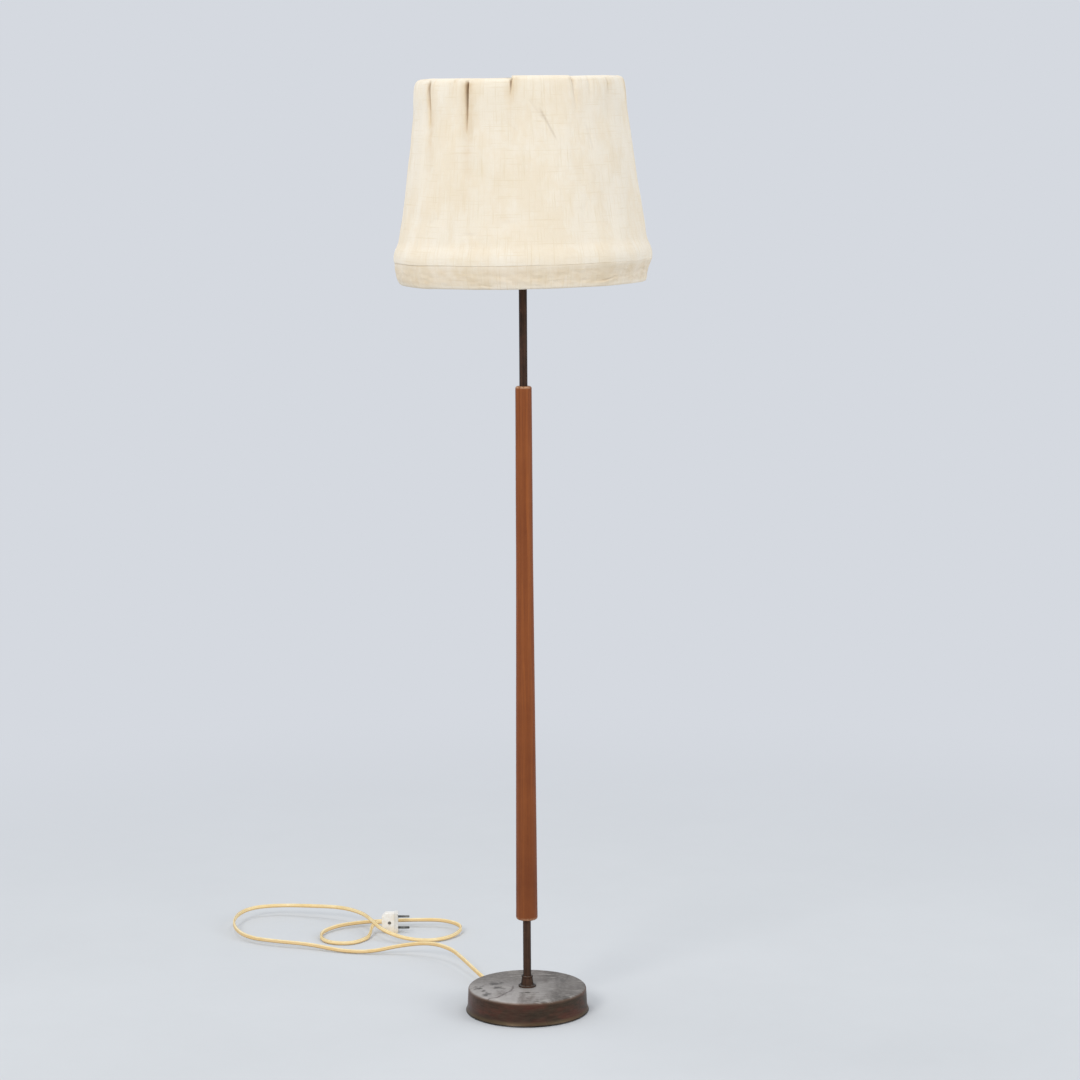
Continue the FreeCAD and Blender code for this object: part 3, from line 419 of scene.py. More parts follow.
def flex_cover(r, place):
    """Cream PVC-covered twin flex: yellowed, with painted shade on its lower core, and dirt and
    painted shade in the groove between its two cores.
    """
    spot, around = place["Object"], r.parts(place["UV"])["X"]
    from_groove = r.math("ABSOLUTE", r.math("SUBTRACT", r.math("PINGPONG", around, 0.5), 0.25))
    grime = r.mottle(spot, 90, 0.14)
    colour = r.mix(r.mottle(spot, 26, 0.2), paint(248, 230, 184), paint(241, 212, 148))
    # painted shade: the lower core is darker; dirt and painted shade turn the groove brown
    colour = r.glaze(colour, (r.ramp(around, 0.5, 0.56), 0.65, (204, 162, 100)),
                     (grime, 0.22, (210, 180, 128)),
                     (r.ramp(from_groove, 0, 0.05, 1, 0), 0.7, (136, 100, 58)))
    return r.surface(colour, r.ramp(grime, 0, 1, 0.42, 0.6), r.noise(spot, 1500, 3), 0.03)


def plug_wear(r, spot):
    """Layers on the plug: greyer on its flange, yellowed towards its underside."""
    parts = r.parts(spot)
    flange_grey = r.ramp(parts["X"], PLUG_FACE_X - 1.1 * PLUG_FLANGE_L, PLUG_FACE_X - PLUG_FLANGE_L)
    return ((flange_grey, 0.5, (206, 206, 202)),
            (r.ramp(parts["Z"], *PLUG_UNDER), 0.45, (242, 212, 160)))


def moulded(light, dark, rough_low, rough_high, orange_peel, wear=lambda r, spot: ()):
    """Recipe for moulded plastic, bakelite or porcelain with handling dirt and dust."""
    def build(r, place):
        spot = place["Object"]
        stain = r.mottle(spot, 70, 0.16)
        colour = r.glaze(r.mix(stain, paint(*light), paint(*dark)), *wear(r, spot),
                         (r.dust(spot, 0.25), 1, (170, 164, 154)))
        rough = r.ramp(stain, 0, 1, rough_low, rough_high)
        return r.surface(colour, rough, r.noise(spot, 900, 4), orange_peel)
    return build


def painted_wire(r, place):
    """Old off-white paint on the shade's frame, chipped to brown rust."""
    spot = place["Object"]
    chips = r.ramp(r.noise(spot, 160, 6, 0.7), 0.60, 0.66)
    colour = r.mix(r.mottle(spot, 30, 0.2), paint(222, 214, 196), paint(198, 184, 154))
    colour = r.glaze(colour, (chips, 1, (104, 66, 42)))
    return r.surface(colour, r.ramp(chips, 0, 1, 0.45, 0.85), r.math("SUBTRACT", 1, chips), 0.12)


def frosted(r, place):
    """Frosted bulb glass with a trace of dust."""
    dust = r.dust(place["Object"], 0.35)
    colour = r.mix(dust, paint(248, 246, 240), paint(206, 198, 184))
    etched = r.noise(place["Object"], 2600, 3)
    return r.surface(colour, r.ramp(dust, 0, 1, 0.38, 0.7), etched, 0.02)


BASE_BRASS = finish("base_brass", base_brass, Specular_IOR_Level=0.35)
TUBE_BRASS = finish("tube_brass", tube_brass, Specular_IOR_Level=0.12)
IRON = finish("cast_iron", cast_iron, Metallic=0.3)
FELT = finish("felt", felt)
STEEL = finish("zinc_steel", bare_metal((176, 174, 168), (122, 118, 110), 60, 0.32, 0.5),
               Metallic=1)
TEAK = finish("oiled_teak", teak, Specular_IOR_Level=0.22)
LINEN = finish("yellowed_linen",
               linen((243, 233, 215), (240, 228, 206), (234, 215, 183), 0.75),
               Sheen_Weight=0.12, Sheen_Roughness=0.6, Specular_IOR_Level=0.2)
# painted shade: the band's linen is a slightly darker copy of the cone's, for the band that turns
# down and in
BAND_LINEN_PAINTED_SHADE = finish("band_linen",
                    linen((242, 231, 213), (236, 223, 200), (226, 208, 176), 0.45),
                    Sheen_Weight=0.1, Sheen_Roughness=0.6, Specular_IOR_Level=0.2)
FLEX = finish("cream_flex", flex_cover, Specular_IOR_Level=0.45)
PLUG = finish("cream_plug", moulded((252, 249, 243), (238, 229, 212), 0.3, 0.46, 0.02,
                                    plug_wear), Specular_IOR_Level=0.45)
BAKELITE = finish("brown_bakelite", moulded((38, 26, 20), (24, 17, 14), 0.22, 0.4, 0.015))
PORCELAIN = finish("porcelain", moulded((236, 232, 222), (216, 208, 192), 0.12, 0.25, 0.01),
                   Coat_Weight=0.4)
BRASS = finish("bright_brass", bare_metal((206, 176, 116), (140, 110, 66), 90, 0.25, 0.48),
               Metallic=1)
PIN_METAL = finish("nickelled_pins", bare_metal((150, 150, 146), (84, 84, 82), 120, 0.25, 0.45),
                   Metallic=1)
NICKEL = finish("nickel", bare_metal((206, 204, 198), (150, 146, 138), 80, 0.2, 0.4),
                Metallic=1)
WIRE_PAINT = finish("painted_wire", painted_wire)
GLASS = finish("frosted_glass", frosted, Transmission_Weight=0.55, IOR=1.45)

NODE_FINISHES = [
    (BASE_BRASS, ["base_cover"]), (IRON, ["base_weight"]), (FELT, ["base_felt"]),
    (STEEL, ["base_washer", "base_locknut", "tie_tube", "terminal_screws", "plug_screw",
             "switch_spindle"]),
    (TUBE_BRASS, ["stem_collar", "lower_tube", "upper_tube", "top_ferrule"]),
    (TEAK, ["wood_shaft"]), (PORCELAIN, ["holder_insulator"]), (FLEX, ["inner_flex"]),
    (BAKELITE, ["cord_bushing", "holder_cap", "holder_shell", "shade_nut_lower",
                "shade_nut_upper", "switch_key"]),
    (BRASS, ["holder_screw_sleeve", "centre_contact", "bulb_contact"]), (NICKEL, ["bulb_cap"]),
    (PLUG, ["plug_half_front", "plug_half_rear"]), (PIN_METAL, ["plug_pins"]),
    (GLASS, ["bulb_glass", "bulb_mount"]),
    (WIRE_PAINT, ["fitter_ring", "shade_top_ring", "shade_seam_ring", "shade_bottom_ring",
                  *("shade_rib_%d" % i for i in range(1, 7)),
                  *("spider_arm_%d" % i for i in range(1, 4))]),
]


def give_finish(piece, material):
    piece.data.materials.clear()
    piece.data.materials.append(material)


for material, names in NODE_FINISHES:
    for node_name in names:
        give_finish(nodes[node_name], material)


# ---------------- shade cloth
SHADE_TOP_Z = 1400 * MM
SEAM_Z = 1137 * MM
FITTER_Z = 1215 * MM
SHADE_TILT = radians(0.85)
CLOTH_T = 0.8 * MM
CONE_UV_R, BAND_UV_R = 168 * MM, 183 * MM     # middle radii, for the width of the UV maps
RIB_AZ, RIB_STEP = 54, 60     # azimuths in degrees
FRONT_AZ = 270
CONE_DEPTH = 262.3            # from the top edge to the cone's foot

# (below the top edge, radius) in mm, the cone's cloth over its ribs
CONE_LINE = [(0, 146.8), (2, 149.6), (6, 151.8), (14, 153.4), (26, 154.6),
             (43, 156.2), (60, 158.4), (95, 163.2), (147, 170), (182, 174.6),
             (217, 179.2), (232, 181.4), (238, 183.4), (244, 186.4), (251, 188.8),
             (257.5, 189.5), (261.5, 189.2)]
# the ribs' outer side under the cloth, the same way
RIB_LINE = [(1, 143.4), (12, 146.4), (24, 149.9), (36, 152.8), (43, 154.5),
            (234, 180.2), (250, 184.2), (262, 185.6)]
LOW_SHIFT = 0.6       # the cloth's foot hangs this far to the left
RIB_COVER = 1.25      # cloth and air over a rib
RIB_EASE = 5          # how far beside a rib the cloth still lies on it
# hem over the top ring, from inside to the top edge: (radius, above the edge)
TOP_HEM = [(138.6, -9), (138.3, -5), (138.5, -1.2), (139.9, 0.7), (142.2, 1.25), (144.2, 0.9)]
HEM_INSIDE_R = 141    # the hem is pressed flat inside this radius
# each fold: degrees right of the front, length, depth, half width in mm, lean in degrees,
# and how far below the top edge it opens
FOLDS = [(-58.4, 68, 9.5, 3.8, 2.4, 6), (-37.5, 9, 2.4, 1, 0, 0),
         (-29, 80, 8.5, 2, 0.3, 6), (-4, 26, 5, 1.9, -1.6, 1),
         (29.7, 42, 2.6, 3, 1.8, 2), (40.5, 20, 1.6, 2.6, 0.6, 2),
         (56, 26, 2.6, 1.8, -0.5, 2), (83, 55, 6, 1.6, 0.8, 5),
         (112, 44, 6.5, 1.8, -0.7, 2), (142, 60, 7, 1.7, 0.6, 6),
         (171, 38, 5, 1.8, 0, 1), (201, 52, 6.8, 1.6, -0.9, 4),
         (231, 47, 6, 1.8, 0.7, 5), (267, 40, 5.5, 1.7, -0.5, 1)]
# lift of the top edge between a fold and the next: at its start and its end, in mm
EDGE_LIFT = [(0.2, -0.4), (-0.4, -0.6), (-0.8, -2), (1.9, 0.8), (-0.2, 0.1), (0.2, 0.2),
             (0.4, -0.3), (0.3, -0.9), (0.6, -0.2), (-0.5, 0.7), (0.8, 0.1), (-0.3, -0.9),
             (0.7, 0.2), (-0.4, 0.5)]
# painted shade: a fold this deep is fully dark inside
DEEP_FOLD = 8         # depth in mm of a fold that is fully dark inside
# waves of the slack cloth: size in mm, how close around and upward, offset in the noise
SLACK_WAVES = [(1.5, 0.030, 0.012, 0, 0), (0.65, 0.075, 0.035, 5, 0),
               (0.22, 0.19, 0.11, 0, 9)]
# columns beside each fold's line, in degrees, and how far apart the others are
NEAR_FOLD = [0, 0.15, 0.32, 0.5, 0.7, 0.92, 1.18, 1.48, 1.85, 2.3, 2.9, 3.6]
COLUMN_STEP = 0.4
LONG_CREASE = 3, 22   # degrees right of the front where each column is kept
FRONT_HALF = 95
# small creases: start and end as (degrees right of the front, mm below the top), depth, width
CREASES = [((9.4, 36), (19.6, 93), 1.1, 2.6), ((4, 26), (13, 62), 0.6, 3.4),
           ((-31, 214), (-20, 219), 0.7, 2.6), ((-58, 128), (-47, 134), 0.5, 3),
           ((-52, 206), (-40, 190), 0.6, 4), ((-8, 60), (-1, 74), 0.5, 3),
           ((36, 60), (41, 110), 0.6, 4), ((-14, 206), (2, 196), 0.5, 4.5),
           ((24, 188), (34, 178), 0.5, 4), ((120, 70), (128, 120), 0.9, 3),
           ((160, 180), (176, 190), 0.8, 3.5), ((214, 40), (222, 96), 1, 3)]


def along_line(points, value):
    """Value of a smooth line through (place, value) points."""
    for i in range(len(points) - 1):
        (x0, y0), (x1, y1) = points[i], points[i + 1]
        if value <= x1 or i == len(points) - 2:
            before = points[i - 1] if i else points[i]
            after = points[i + 2] if i + 2 < len(points) else points[i + 1]
            run = x1 - x0
            slope0 = (y1 - before[1]) / (x1 - before[0])
            slope1 = (after[1] - y0) / (after[0] - x0)
            t = min(max((value - x0) / run, 0), 1)
            return ((2 * t ** 3 - 3 * t ** 2 + 1) * y0 + (t ** 3 - 2 * t ** 2 + t) * run * slope0
                    + (3 * t ** 2 - 2 * t ** 3) * y1 + (t ** 3 - t ** 2) * run * slope1)
    return points[-1][1]


def smooth(value, low, high):
    t = min(max((value - low) / (high - low), 0), 1)
    return t * t * (3 - 2 * t)


def round_trip(degrees):
    """Degrees wrapped to the range from -180 to 180."""
    return (degrees + 180) % 360 - 180


def bell(off, width):
    return exp(-(off / width) ** 2)


def ripple(azimuth, reach, height):
    """Noise that closes round the shade; the larger its reach, the shorter its waves."""
    turn = radians(azimuth)
    return noise.noise(Vector((cos(turn) * reach, sin(turn) * reach, height)))


def from_rib(azimuth):
    """Degrees between this place and the nearest rib."""
    return abs((azimuth - RIB_AZ + RIB_STEP / 2) % RIB_STEP - RIB_STEP / 2)


def facet_sag(azimuth, radius, share):
    """How far the cloth is drawn in between two ribs, where it is stretched straighter."""
    off_rib, half = from_rib(azimuth), RIB_STEP / 2
    off_rib = sqrt(off_rib ** 2 + 2.2 ** 2) - 2.2 * exp(-off_rib / 6)
    straight = cos(radians(half)) / cos(radians(half - min(off_rib, half)))
    return radius * (1 - straight) * share


def over_rib(azimuth, down, radius):
    """Least radius of the cloth, so that it lies over the nearest rib and not through it."""
    beside = radians(from_rib(azimuth)) * radius
    return along_line(RIB_LINE, down) + RIB_COVER - (beside / RIB_EASE) ** 2


def beside_fold(fold, azimuth, down, radius):
    """Distance round the shade from the fold's line, and the share of the fold left there."""
    degrees, length, lean = fold[0], fold[1], fold[4]
    centre = FRONT_AZ + degrees + lean * min(down, 90) / 60
    off = radians(round_trip(azimuth - centre)) * radius
    return off, max(0, 1 - down / length)


def fold_push(azimuth, down, radius):
    """Radial push of the folds at the top edge and of the lips beside them, in mm."""
    push = 0
    for fold in FOLDS:
        _, length, depth, half_width, _, opens = fold
        off, fade = beside_fold(fold, azimuth, down, radius)
        if abs(off) < 40:
            width = half_width * (0.45 + 0.55 * fade) + 0.25
            depth *= 0.12 + 0.88 * smooth(down, 0.2 * opens, opens + 2)
            push -= depth * fade ** 0.8 * bell(off, width)
            push += 0.9 * fade * bell(abs(off) - 2.2 * width, 1.8 * width + 1)
            push -= 0.9 * bell(down, 2.2 * length) * bell(off, 5 + 0.05 * down)
    return push


def painted_shade_and_soiling(azimuth, row):
    """How dark with painted shade a point lies in a fold or crease, and how stained the cloth
    around it is.
    """
    kind, down = row
    if kind != "side":
        return 0, 0
    radius = along_line(CONE_LINE, down)
    fold_painted_shade, stained = 0, 0
    for fold in FOLDS:
        _, length, depth, half_width, _, opens = fold
        off, fade = beside_fold(fold, azimuth, down, radius)
        width = half_width * (0.45 + 0.55 * fade) + 0.2
        share = depth * smooth(down, 0.3 * opens, opens + 3) / DEEP_FOLD
        fold_painted_shade = max(fold_painted_shade, share * fade ** 0.6 * bell(off, width))
        reach = bell(off - 2, 9) * bell(down, 1.25 * length + 12)
        stained = max(stained, min(share, 1) * reach)
    fold_painted_shade += 0.35 * max(0, -crease_push(azimuth, down, radius))
    return min(fold_painted_shade, 1), stained


def puff(azimuth, down):
    """Swell of the cloth between two folds, and lift of its top edge in mm."""
    starts = [FRONT_AZ + fold[0] for fold in FOLDS]
    for i, start in enumerate(starts):
        span = (starts[(i + 1) % len(starts)] - start) % 360
        into = (azimuth - start) % 360
        if into < span:
            share = into / span
            low, high = EDGE_LIFT[i]
            swell = sin(pi * share) * bell(down - 24, 30)
            return swell * span / 30, low + (high - low) * share
    return 0, 0


def crease_profile(side, width, lip_at, lip_width, lip):
    """Section across a crease: its groove, less the lip that stands up beside it."""
    return bell(side, width) - lip * bell(side - lip_at * width, lip_width * width)


def crease_push(azimuth, down, radius):
    """Radial push of the cone's small creases, in mm."""
    push = 0
    s = radians(round_trip(azimuth - FRONT_AZ)) * radius
    for (a0, t0), (a1, t1), depth, width in CREASES:
        s0, s1 = (radians(round_trip(a)) * radius for a in (a0, a1))
        run = Vector((s1 - s0, t1 - t0))
        place = Vector((s - s0, down - t0))
        share = place.dot(run) / run.length_squared
        if -0.3 < share < 1.3:
            side = (place.x * run.y - place.y * run.x) / run.length
            if abs(side) < 6 * width:
                ends = smooth(share, -0.1, 0.25) * smooth(share, 1.1, 0.75)
                push -= depth * ends * crease_profile(side, width, 2.1, 1.6, 0.45)
    return push


def slack(azimuth, down, radius):
    """Small uneven waves of an old cloth, longer up and down than around, in mm."""
    turn = radians(azimuth)
    x, y = cos(turn) * radius, sin(turn) * radius
    return sum(size * noise.noise(Vector((x * around + dx, y * around + dy, down * upward)))
               for size, around, upward, dx, dy in SLACK_WAVES)


def cloth_azimuths():
    """Columns round the shade: close together at the folds and small creases."""
    spots = set()
    for degrees, *_ in FOLDS:
        for off in NEAR_FOLD:
            spots.add(round((FRONT_AZ + degrees + off) % 360, 3))
            spots.add(round((FRONT_AZ + degrees - off) % 360, 3))
    for i in range(round(360 / COLUMN_STEP)):
        azimuth = i * COLUMN_STEP
        turned = round_trip(azimuth - FRONT_AZ)
        fine = LONG_CREASE[0] < turned < LONG_CREASE[1]
        keep = fine or i % 3 == 0 if abs(turned) < FRONT_HALF else i % 4 == 0
        if keep and min(abs(round_trip(azimuth - s)) for s in spots) > 0.3:
            spots.add(azimuth)
    return sorted(spots)


def seat(x, y, z):
    """A point of the shade, leaned as the shade sits on its fitter ring."""
    dz = z - FITTER_Z
    return (x * cos(SHADE_TILT) - dz * sin(SHADE_TILT), y,
            FITTER_Z + x * sin(SHADE_TILT) + dz * cos(SHADE_TILT))


def cone_rows():
    """Rows of the cone's cloth as (kind, place): hem over the top ring, mm below its edge."""
    rows = [("top", i) for i in range(len(TOP_HEM))]
    down = 0
    while down < 261:
        rows.append(("side", down))
        down += 1.6 if down < 12 else 2.6 if down < 40 else 4.2 if down < 110 else 5.5
        if down > 226:
            down -= 2.9
    return rows + [("side", 261.5), ("side", CONE_DEPTH)]


def cone_point(azimuth, row):
    """Place of the cone's cloth: only the outer part of its hem follows the folds."""
    kind, place = row
    if kind == "side":
        down, radius, rise, outward = place, along_line(CONE_LINE, place), 0, 1
    else:
        (radius, rise), down = TOP_HEM[place], 0
        outward = max(0, (radius - HEM_INSIDE_R) / 5)
    swell, lift = puff(azimuth, down)
    push = swell * (1.3 - 0.6 * cos(radians(azimuth)))
    share = 0.17 * smooth(down, 6, 70) * smooth(down, 244, 190)
    push -= facet_sag(azimuth, radius, share)
    push += fold_push(azimuth, down, radius)
    push += crease_push(azimuth, down, radius)
    push += slack(azimuth, down, radius) * (0.35 + 0.65 * smooth(down, 0, 60)
                                             * smooth(down, 262, 215))
    radius += push * outward
    if kind == "side":
        radius = max(radius, over_rib(azimuth, down, radius))
    edge = lift * (1 - smooth(down, 0, 34))
    z = SHADE_TOP_Z + (rise + edge - down) * MM
    turn = radians(azimuth)
    z += seam_wave(azimuth) * smooth(down, 225, 262)
    drawn_left = LOW_SHIFT * smooth(down, 60, 262)
    return seat((cos(turn) * radius - drawn_left) * MM, sin(turn) * radius * MM, z)


def seam_wave(azimuth):
    """Rise of the seam, which the cone's foot and the band's upper edge share, in metres."""
    return 1.1 * MM * ripple(azimuth, 2.2, 4)


def in_scene(name, data):
    piece = bpy.data.objects.new(name, data)
    bpy.context.scene.collection.objects.link(piece)
    return piece


def patch(shape, uv, corners, places):
    """Smooth face between four corners, each with its place in the UV map."""
    face = shape.faces.new(corners)
    face.smooth = True
    for loop, place in zip(face.loops, places):
        loop[uv].uv = place


def cloth_skin(name, azimuths, rows, point, painted_shade_and_soil, radius):
    """Closed sleeve of cloth from a grid of points, with UVs in metres, given its thickness."""
    mesh = bpy.data.meshes.new(name)
    shape = bmesh.new()
    fold_painted_shade = shape.verts.layers.float.new("fold_painted_shade")
    stained = shape.verts.layers.float.new("stained")
    grid = [[shape.verts.new(point(azimuth, row)) for azimuth in azimuths] for row in rows]
    for line, row in zip(grid, rows):
        for vert, azimuth in zip(line, azimuths):
            vert[fold_painted_shade], vert[stained] = painted_shade_and_soil(azimuth, row)
    uv = shape.loops.layers.uv.new("UVMap")
    height = [0]
    for low, high in zip(grid, grid[1:]):
        height.append(height[-1] + (low[0].co - high[0].co).length)
    count = len(azimuths)
    for r in range(len(rows) - 1):
        for c in range(count):
            n = (c + 1) % count
            left = radians(azimuths[c]) * radius
            right = radians(azimuths[n] if n else 360 + azimuths[0]) * radius
            patch(shape, uv, (grid[r][c], grid[r + 1][c], grid[r + 1][n], grid[r][n]),
                  ((left, height[r]), (left, height[r + 1]), (right, height[r + 1]),
                   (right, height[r])))
    shape.normal_update()
    shape.to_mesh(mesh)
    shape.free()
    piece = in_scene(name, mesh)
    thicken = piece.modifiers.new("cloth_thickness", "SOLIDIFY")
    thicken.thickness = CLOTH_T
    thicken.offset = -1
    apply_modifiers(piece)
    return piece


def only(piece):
    """Makes this piece the only selected one, and active."""
    bpy.ops.object.select_all(action="DESELECT")
    piece.select_set(True)
    bpy.context.view_layer.objects.active = piece


def apply_modifiers(piece):
    only(piece)
    for modifier in list(piece.modifiers):
        bpy.ops.object.modifier_apply(modifier=modifier.name)


shade_linen = cloth_skin("shade_linen", cloth_azimuths(), cone_rows(), cone_point, painted_shade_and_soiling,
                         CONE_UV_R)
give_finish(shade_linen, LINEN)
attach(shade_linen, "shade")
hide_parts("shade_cloth")

# ---------------- band under the seam
# (below the seam, radius) in mm on the shade's left and right side
BAND_LEFT = [(-3, 188.2), (-1, 188.5), (0.5, 188.9), (4, 188.9), (8, 188.6),
             (15, 187.8), (23, 186.2), (28, 184), (31.5, 181.6), (33, 178.5)]
BAND_RIGHT = [(-3, 188.2), (-1, 188.5), (0.5, 188.7), (4, 187.4), (8, 185.6),
              (15, 182.8), (23, 180.8), (28, 180.2), (31.5, 179.6), (33, 177.6)]
BAND_CLEAR = 179.4        # least radius beside the bottom ring, between these depths
BAND_CLEAR_FROM, BAND_CLEAR_TO = 26, 32.5
BAND_OVER_RIB = 187       # least radius over a rib, at the seam
BAND_COLUMN = 0.75        # degrees between two columns of its mesh
BAND_HEM = [(-5, 0.3), (-8, 2), (-9, 6), (-9.2, 12)]  # (radius change, height)
BAND_DEPTH = 33
# creases along the band: start and end as (degrees right of the front, mm below the seam),
# depth, width
BAND_CREASES = [((-24, 27), (-13, 27.8), 1.5, 1.3), ((20, 22.5), (40, 21), 0.8, 1.8),
                ((30, 24.5), (58, 19.5), 1.2, 1.4), ((-60, 20), (-40, 24), 0.5, 2.6),
                ((-14, 12), (4, 15), 0.6, 3), ((2, 19), (18, 16.5), 0.6, 2.4),
                ((-36, 8), (-20, 11), 0.4, 3), ((66, 12), (86, 20), 1, 1.8),
                ((100, 22), (132, 25), 1, 1.8), ((150, 14), (172, 19), 0.8, 2.2),
                ((190, 24), (222, 22), 1, 1.8), ((236, 12), (258, 17), 0.8, 2.4)]


def band_rows():
    """Rows of the band as (kind, place): mm below the seam, then its turned hem."""
    places = [-3, -1.8, -0.9, -0.2]
    down = 0.6
    while down < 31:
        places.append(down)
        down += 1.15
    places += [31.5, 32.4, BAND_DEPTH]
    return [("side", place) for place in places] + [("hem", i) for i in range(len(BAND_HEM))]


def band_creases(azimuth, down):
    """Radial push of the band's creases, which wander up and down on their way, in mm."""
    push = 0
    for (a0, t0), (a1, t1), depth, width in BAND_CREASES:
        span = a1 - a0
        share = round_trip(azimuth - FRONT_AZ - a0) / span
        if -0.2 < share < 1.2:
            wander = noise.noise(Vector((share * 3, t0, a0)))
            side = down - (t0 + (t1 - t0) * share) - 2.6 * wander
            depth *= 0.45 + 1.1 * abs(noise.noise(Vector((share * 4, a0, t0))))
            ends = smooth(share, -0.1, 0.2) * smooth(share, 1.1, 0.8)
            push -= depth * ends * crease_profile(side, width, 2.4, 1.7, 0.5)
    return push


def band_point(azimuth, row):
    """Place of the band's cloth: fuller on the left, crumpled, clear of ribs and bottom ring."""
    kind, place = row
    turn = radians(azimuth)
    right = 0.5 + 0.5 * cos(turn)
    down = place if kind == "side" else BAND_DEPTH
    radius = along_line(BAND_RIGHT, down) * right + along_line(BAND_LEFT, down) * (1 - right)
    loose = smooth(down, 1, 10)
    radius += band_creases(azimuth, down) * loose
    crumple = ripple(azimuth, 13, down * 0.16)
    fine = ripple(azimuth, 34, down * 0.33)
    radius += (0.85 * crumple + 0.4 * fine) * loose
    if kind == "side":
        beside = radians(from_rib(azimuth)) * radius
        over = BAND_OVER_RIB - 0.25 * max(down, 0) - (beside / RIB_EASE) ** 2
        at_ring = BAND_CLEAR_FROM < down < BAND_CLEAR_TO
        radius = max(radius, over, BAND_CLEAR if at_ring else 0)
    drop = 1.1 * ripple(azimuth, 3, 7)
    z = SEAM_Z - (down + drop * smooth(down, 8, 30)) * MM
    if kind == "hem":
        radius += BAND_HEM[place][0]
        z += BAND_HEM[place][1] * MM
    z += seam_wave(azimuth) * smooth(down, 14, 0)
    return seat(cos(turn) * radius * MM, sin(turn) * radius * MM, z)


def band_painted_shade_and_soiling(azimuth, row):
    """Painted shade in the band's creases, and its stain: more above its hem than on it."""
    kind, down = row
    if kind != "side":
        return 0, 0.3
    fold_painted_shade = 0.26 * max(0, -band_creases(azimuth, down))
    return min(fold_painted_shade, 1), smooth(down, 31, 24) * (0.25 + 0.5 * smooth(down, 1, 9))


columns = [i * BAND_COLUMN for i in range(round(360 / BAND_COLUMN))]
shade_hem_band = cloth_skin("shade_hem_band", columns, band_rows(), band_point, band_painted_shade_and_soiling,
                            BAND_UV_R)
give_finish(shade_hem_band, BAND_LINEN_PAINTED_SHADE)
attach(shade_hem_band, "shade")
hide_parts("shade_band")

# ---------------- flex
# Route of the free flex, in millimetres: from the bushing over the floor to the plug's tail.
FLEX_ROUTE = [
    (-46.43, 85.51, 10), (-59.79, 110.12, 10), (-79, 147, 15.5), (-102, 198, 22.5),
    (-123, 250, 25), (-158, 288, 24.5), (-208, 307, 14.5), (-254, 305, 4.5),
    (-302, 314, 3.4), (-356, 340, 8), (-412, 355, 9), (-460, 381, 8),
    (-488, 425, 11), (-494, 482, 16), (-472, 536, 17), (-424, 551, 17),
    (-370, 535, 20), (-315, 514, 23), (-279, 474, 24), (-260, 427, 24.5),
    (-241, 387, 18), (-202, 365, 9), (-158, 370, 4), (-122, 398, 4),
    (-107, 440, 9), (-140, 470, 12), (-189, 470, 12.5), (-236, 474, 10),
    (-279, 477, 7), (-322, 454, 7), (-347, 414, 5), (-334, 368, 3.4),
    (-291, 357, 3.4), (-265, 388, 3.6), (-261, 410, 6.5), (-260, 428, 12.5),
    (-254.5, 438.5, 17.5), (-243.5, 438.5, 17.5),
]
FLEX_W, FLEX_T = 6.4 * MM, 3.4 * MM
FLEX_WEB = 0.95 * MM      # half thickness of the web between the two cores
LEAN = radians(52)        # its wide side leans back from the floor by this angle
FLEX_LEAN = Vector((0, cos(LEAN), sin(LEAN)))
CORE_SIDES = 12           # points round each core
CORE_MEET = 0.62          # where a core passes into the web, as a share of its offset


def flex_line():
    """Points along the smooth line through the flex's route."""
    curve = bpy.data.curves.new("flex_line", "CURVE")
    curve.dimensions = "3D"
    curve.resolution_u = 14
    spline = curve.splines.new("NURBS")
    spline.points.add(len(FLEX_ROUTE) - 1)
    for point, place in zip(spline.points, FLEX_ROUTE):
        point.co = (*(Vector(place) * MM), 1)
    spline.order_u = 3
    spline.use_endpoint_u = True
    holder = bpy.data.objects.new("flex_line", curve)
    line = bpy.data.meshes.new_from_object(holder)
    points = [v.co.copy() for v in line.vertices]
    bpy.data.objects.remove(holder)
    bpy.data.meshes.remove(line)
    bpy.data.curves.remove(curve)
    return points


def twin_section():
    """Outline of the twin flex as (across its width, through its thickness)."""
    core, offset = FLEX_T / 2, (FLEX_W - FLEX_T) / 2
    meet = acos(min(1, offset * CORE_MEET / core))
    outline = []
    for side in (1, -1):
        for i in range(CORE_SIDES):
            angle = -pi + meet + (2 * pi - 2 * meet) * i / (CORE_SIDES - 1)
            outline.append((side * (offset + core * cos(angle)), side * core * sin(angle)))
        outline.append((0, FLEX_WEB * side))
    return outline


def sweep_flex(name, line, section):
    """Tube of the twin section along the line; its wide side leans the same way all along."""
    mesh = bpy.data.meshes.new(name)
    shape = bmesh.new()
    uv = shape.loops.layers.uv.new("UVMap")
    rings, travel = [], [0]
    for i, here in enumerate(line):
        before, after = line[max(i - 1, 0)], line[min(i + 1, len(line) - 1)]
        along = (after - before).normalized()
        wide = (FLEX_LEAN - along * FLEX_LEAN.dot(along)).normalized()
        thick = along.cross(wide)
        rings.append([shape.verts.new(here + wide * a + thick * b) for a, b in section])
        if i:
            travel.append(travel[-1] + (here - line[i - 1]).length)
    count = len(section)
    for i in range(len(line) - 1):
        for c in range(count):
            n = (c + 1) % count
            left, right = c / count, (c + 1) / count
            patch(shape, uv, (rings[i][c], rings[i][n], rings[i + 1][n], rings[i + 1][c]),
                  ((left, travel[i]), (right, travel[i]), (right, travel[i + 1]),
                   (left, travel[i + 1])))
    for ring, flip in ((rings[0], True), (rings[-1], False)):
        shape.faces.new(list(reversed(ring)) if flip else ring)
    bmesh.ops.recalc_face_normals(shape, faces=shape.faces)
    shape.to_mesh(mesh)
    shape.free()
    return in_scene(name, mesh)


flex_points = flex_line()
mains_flex = sweep_flex("mains_flex", flex_points, twin_section())
give_finish(mains_flex, FLEX)
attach(mains_flex, "stand")
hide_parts("cord")


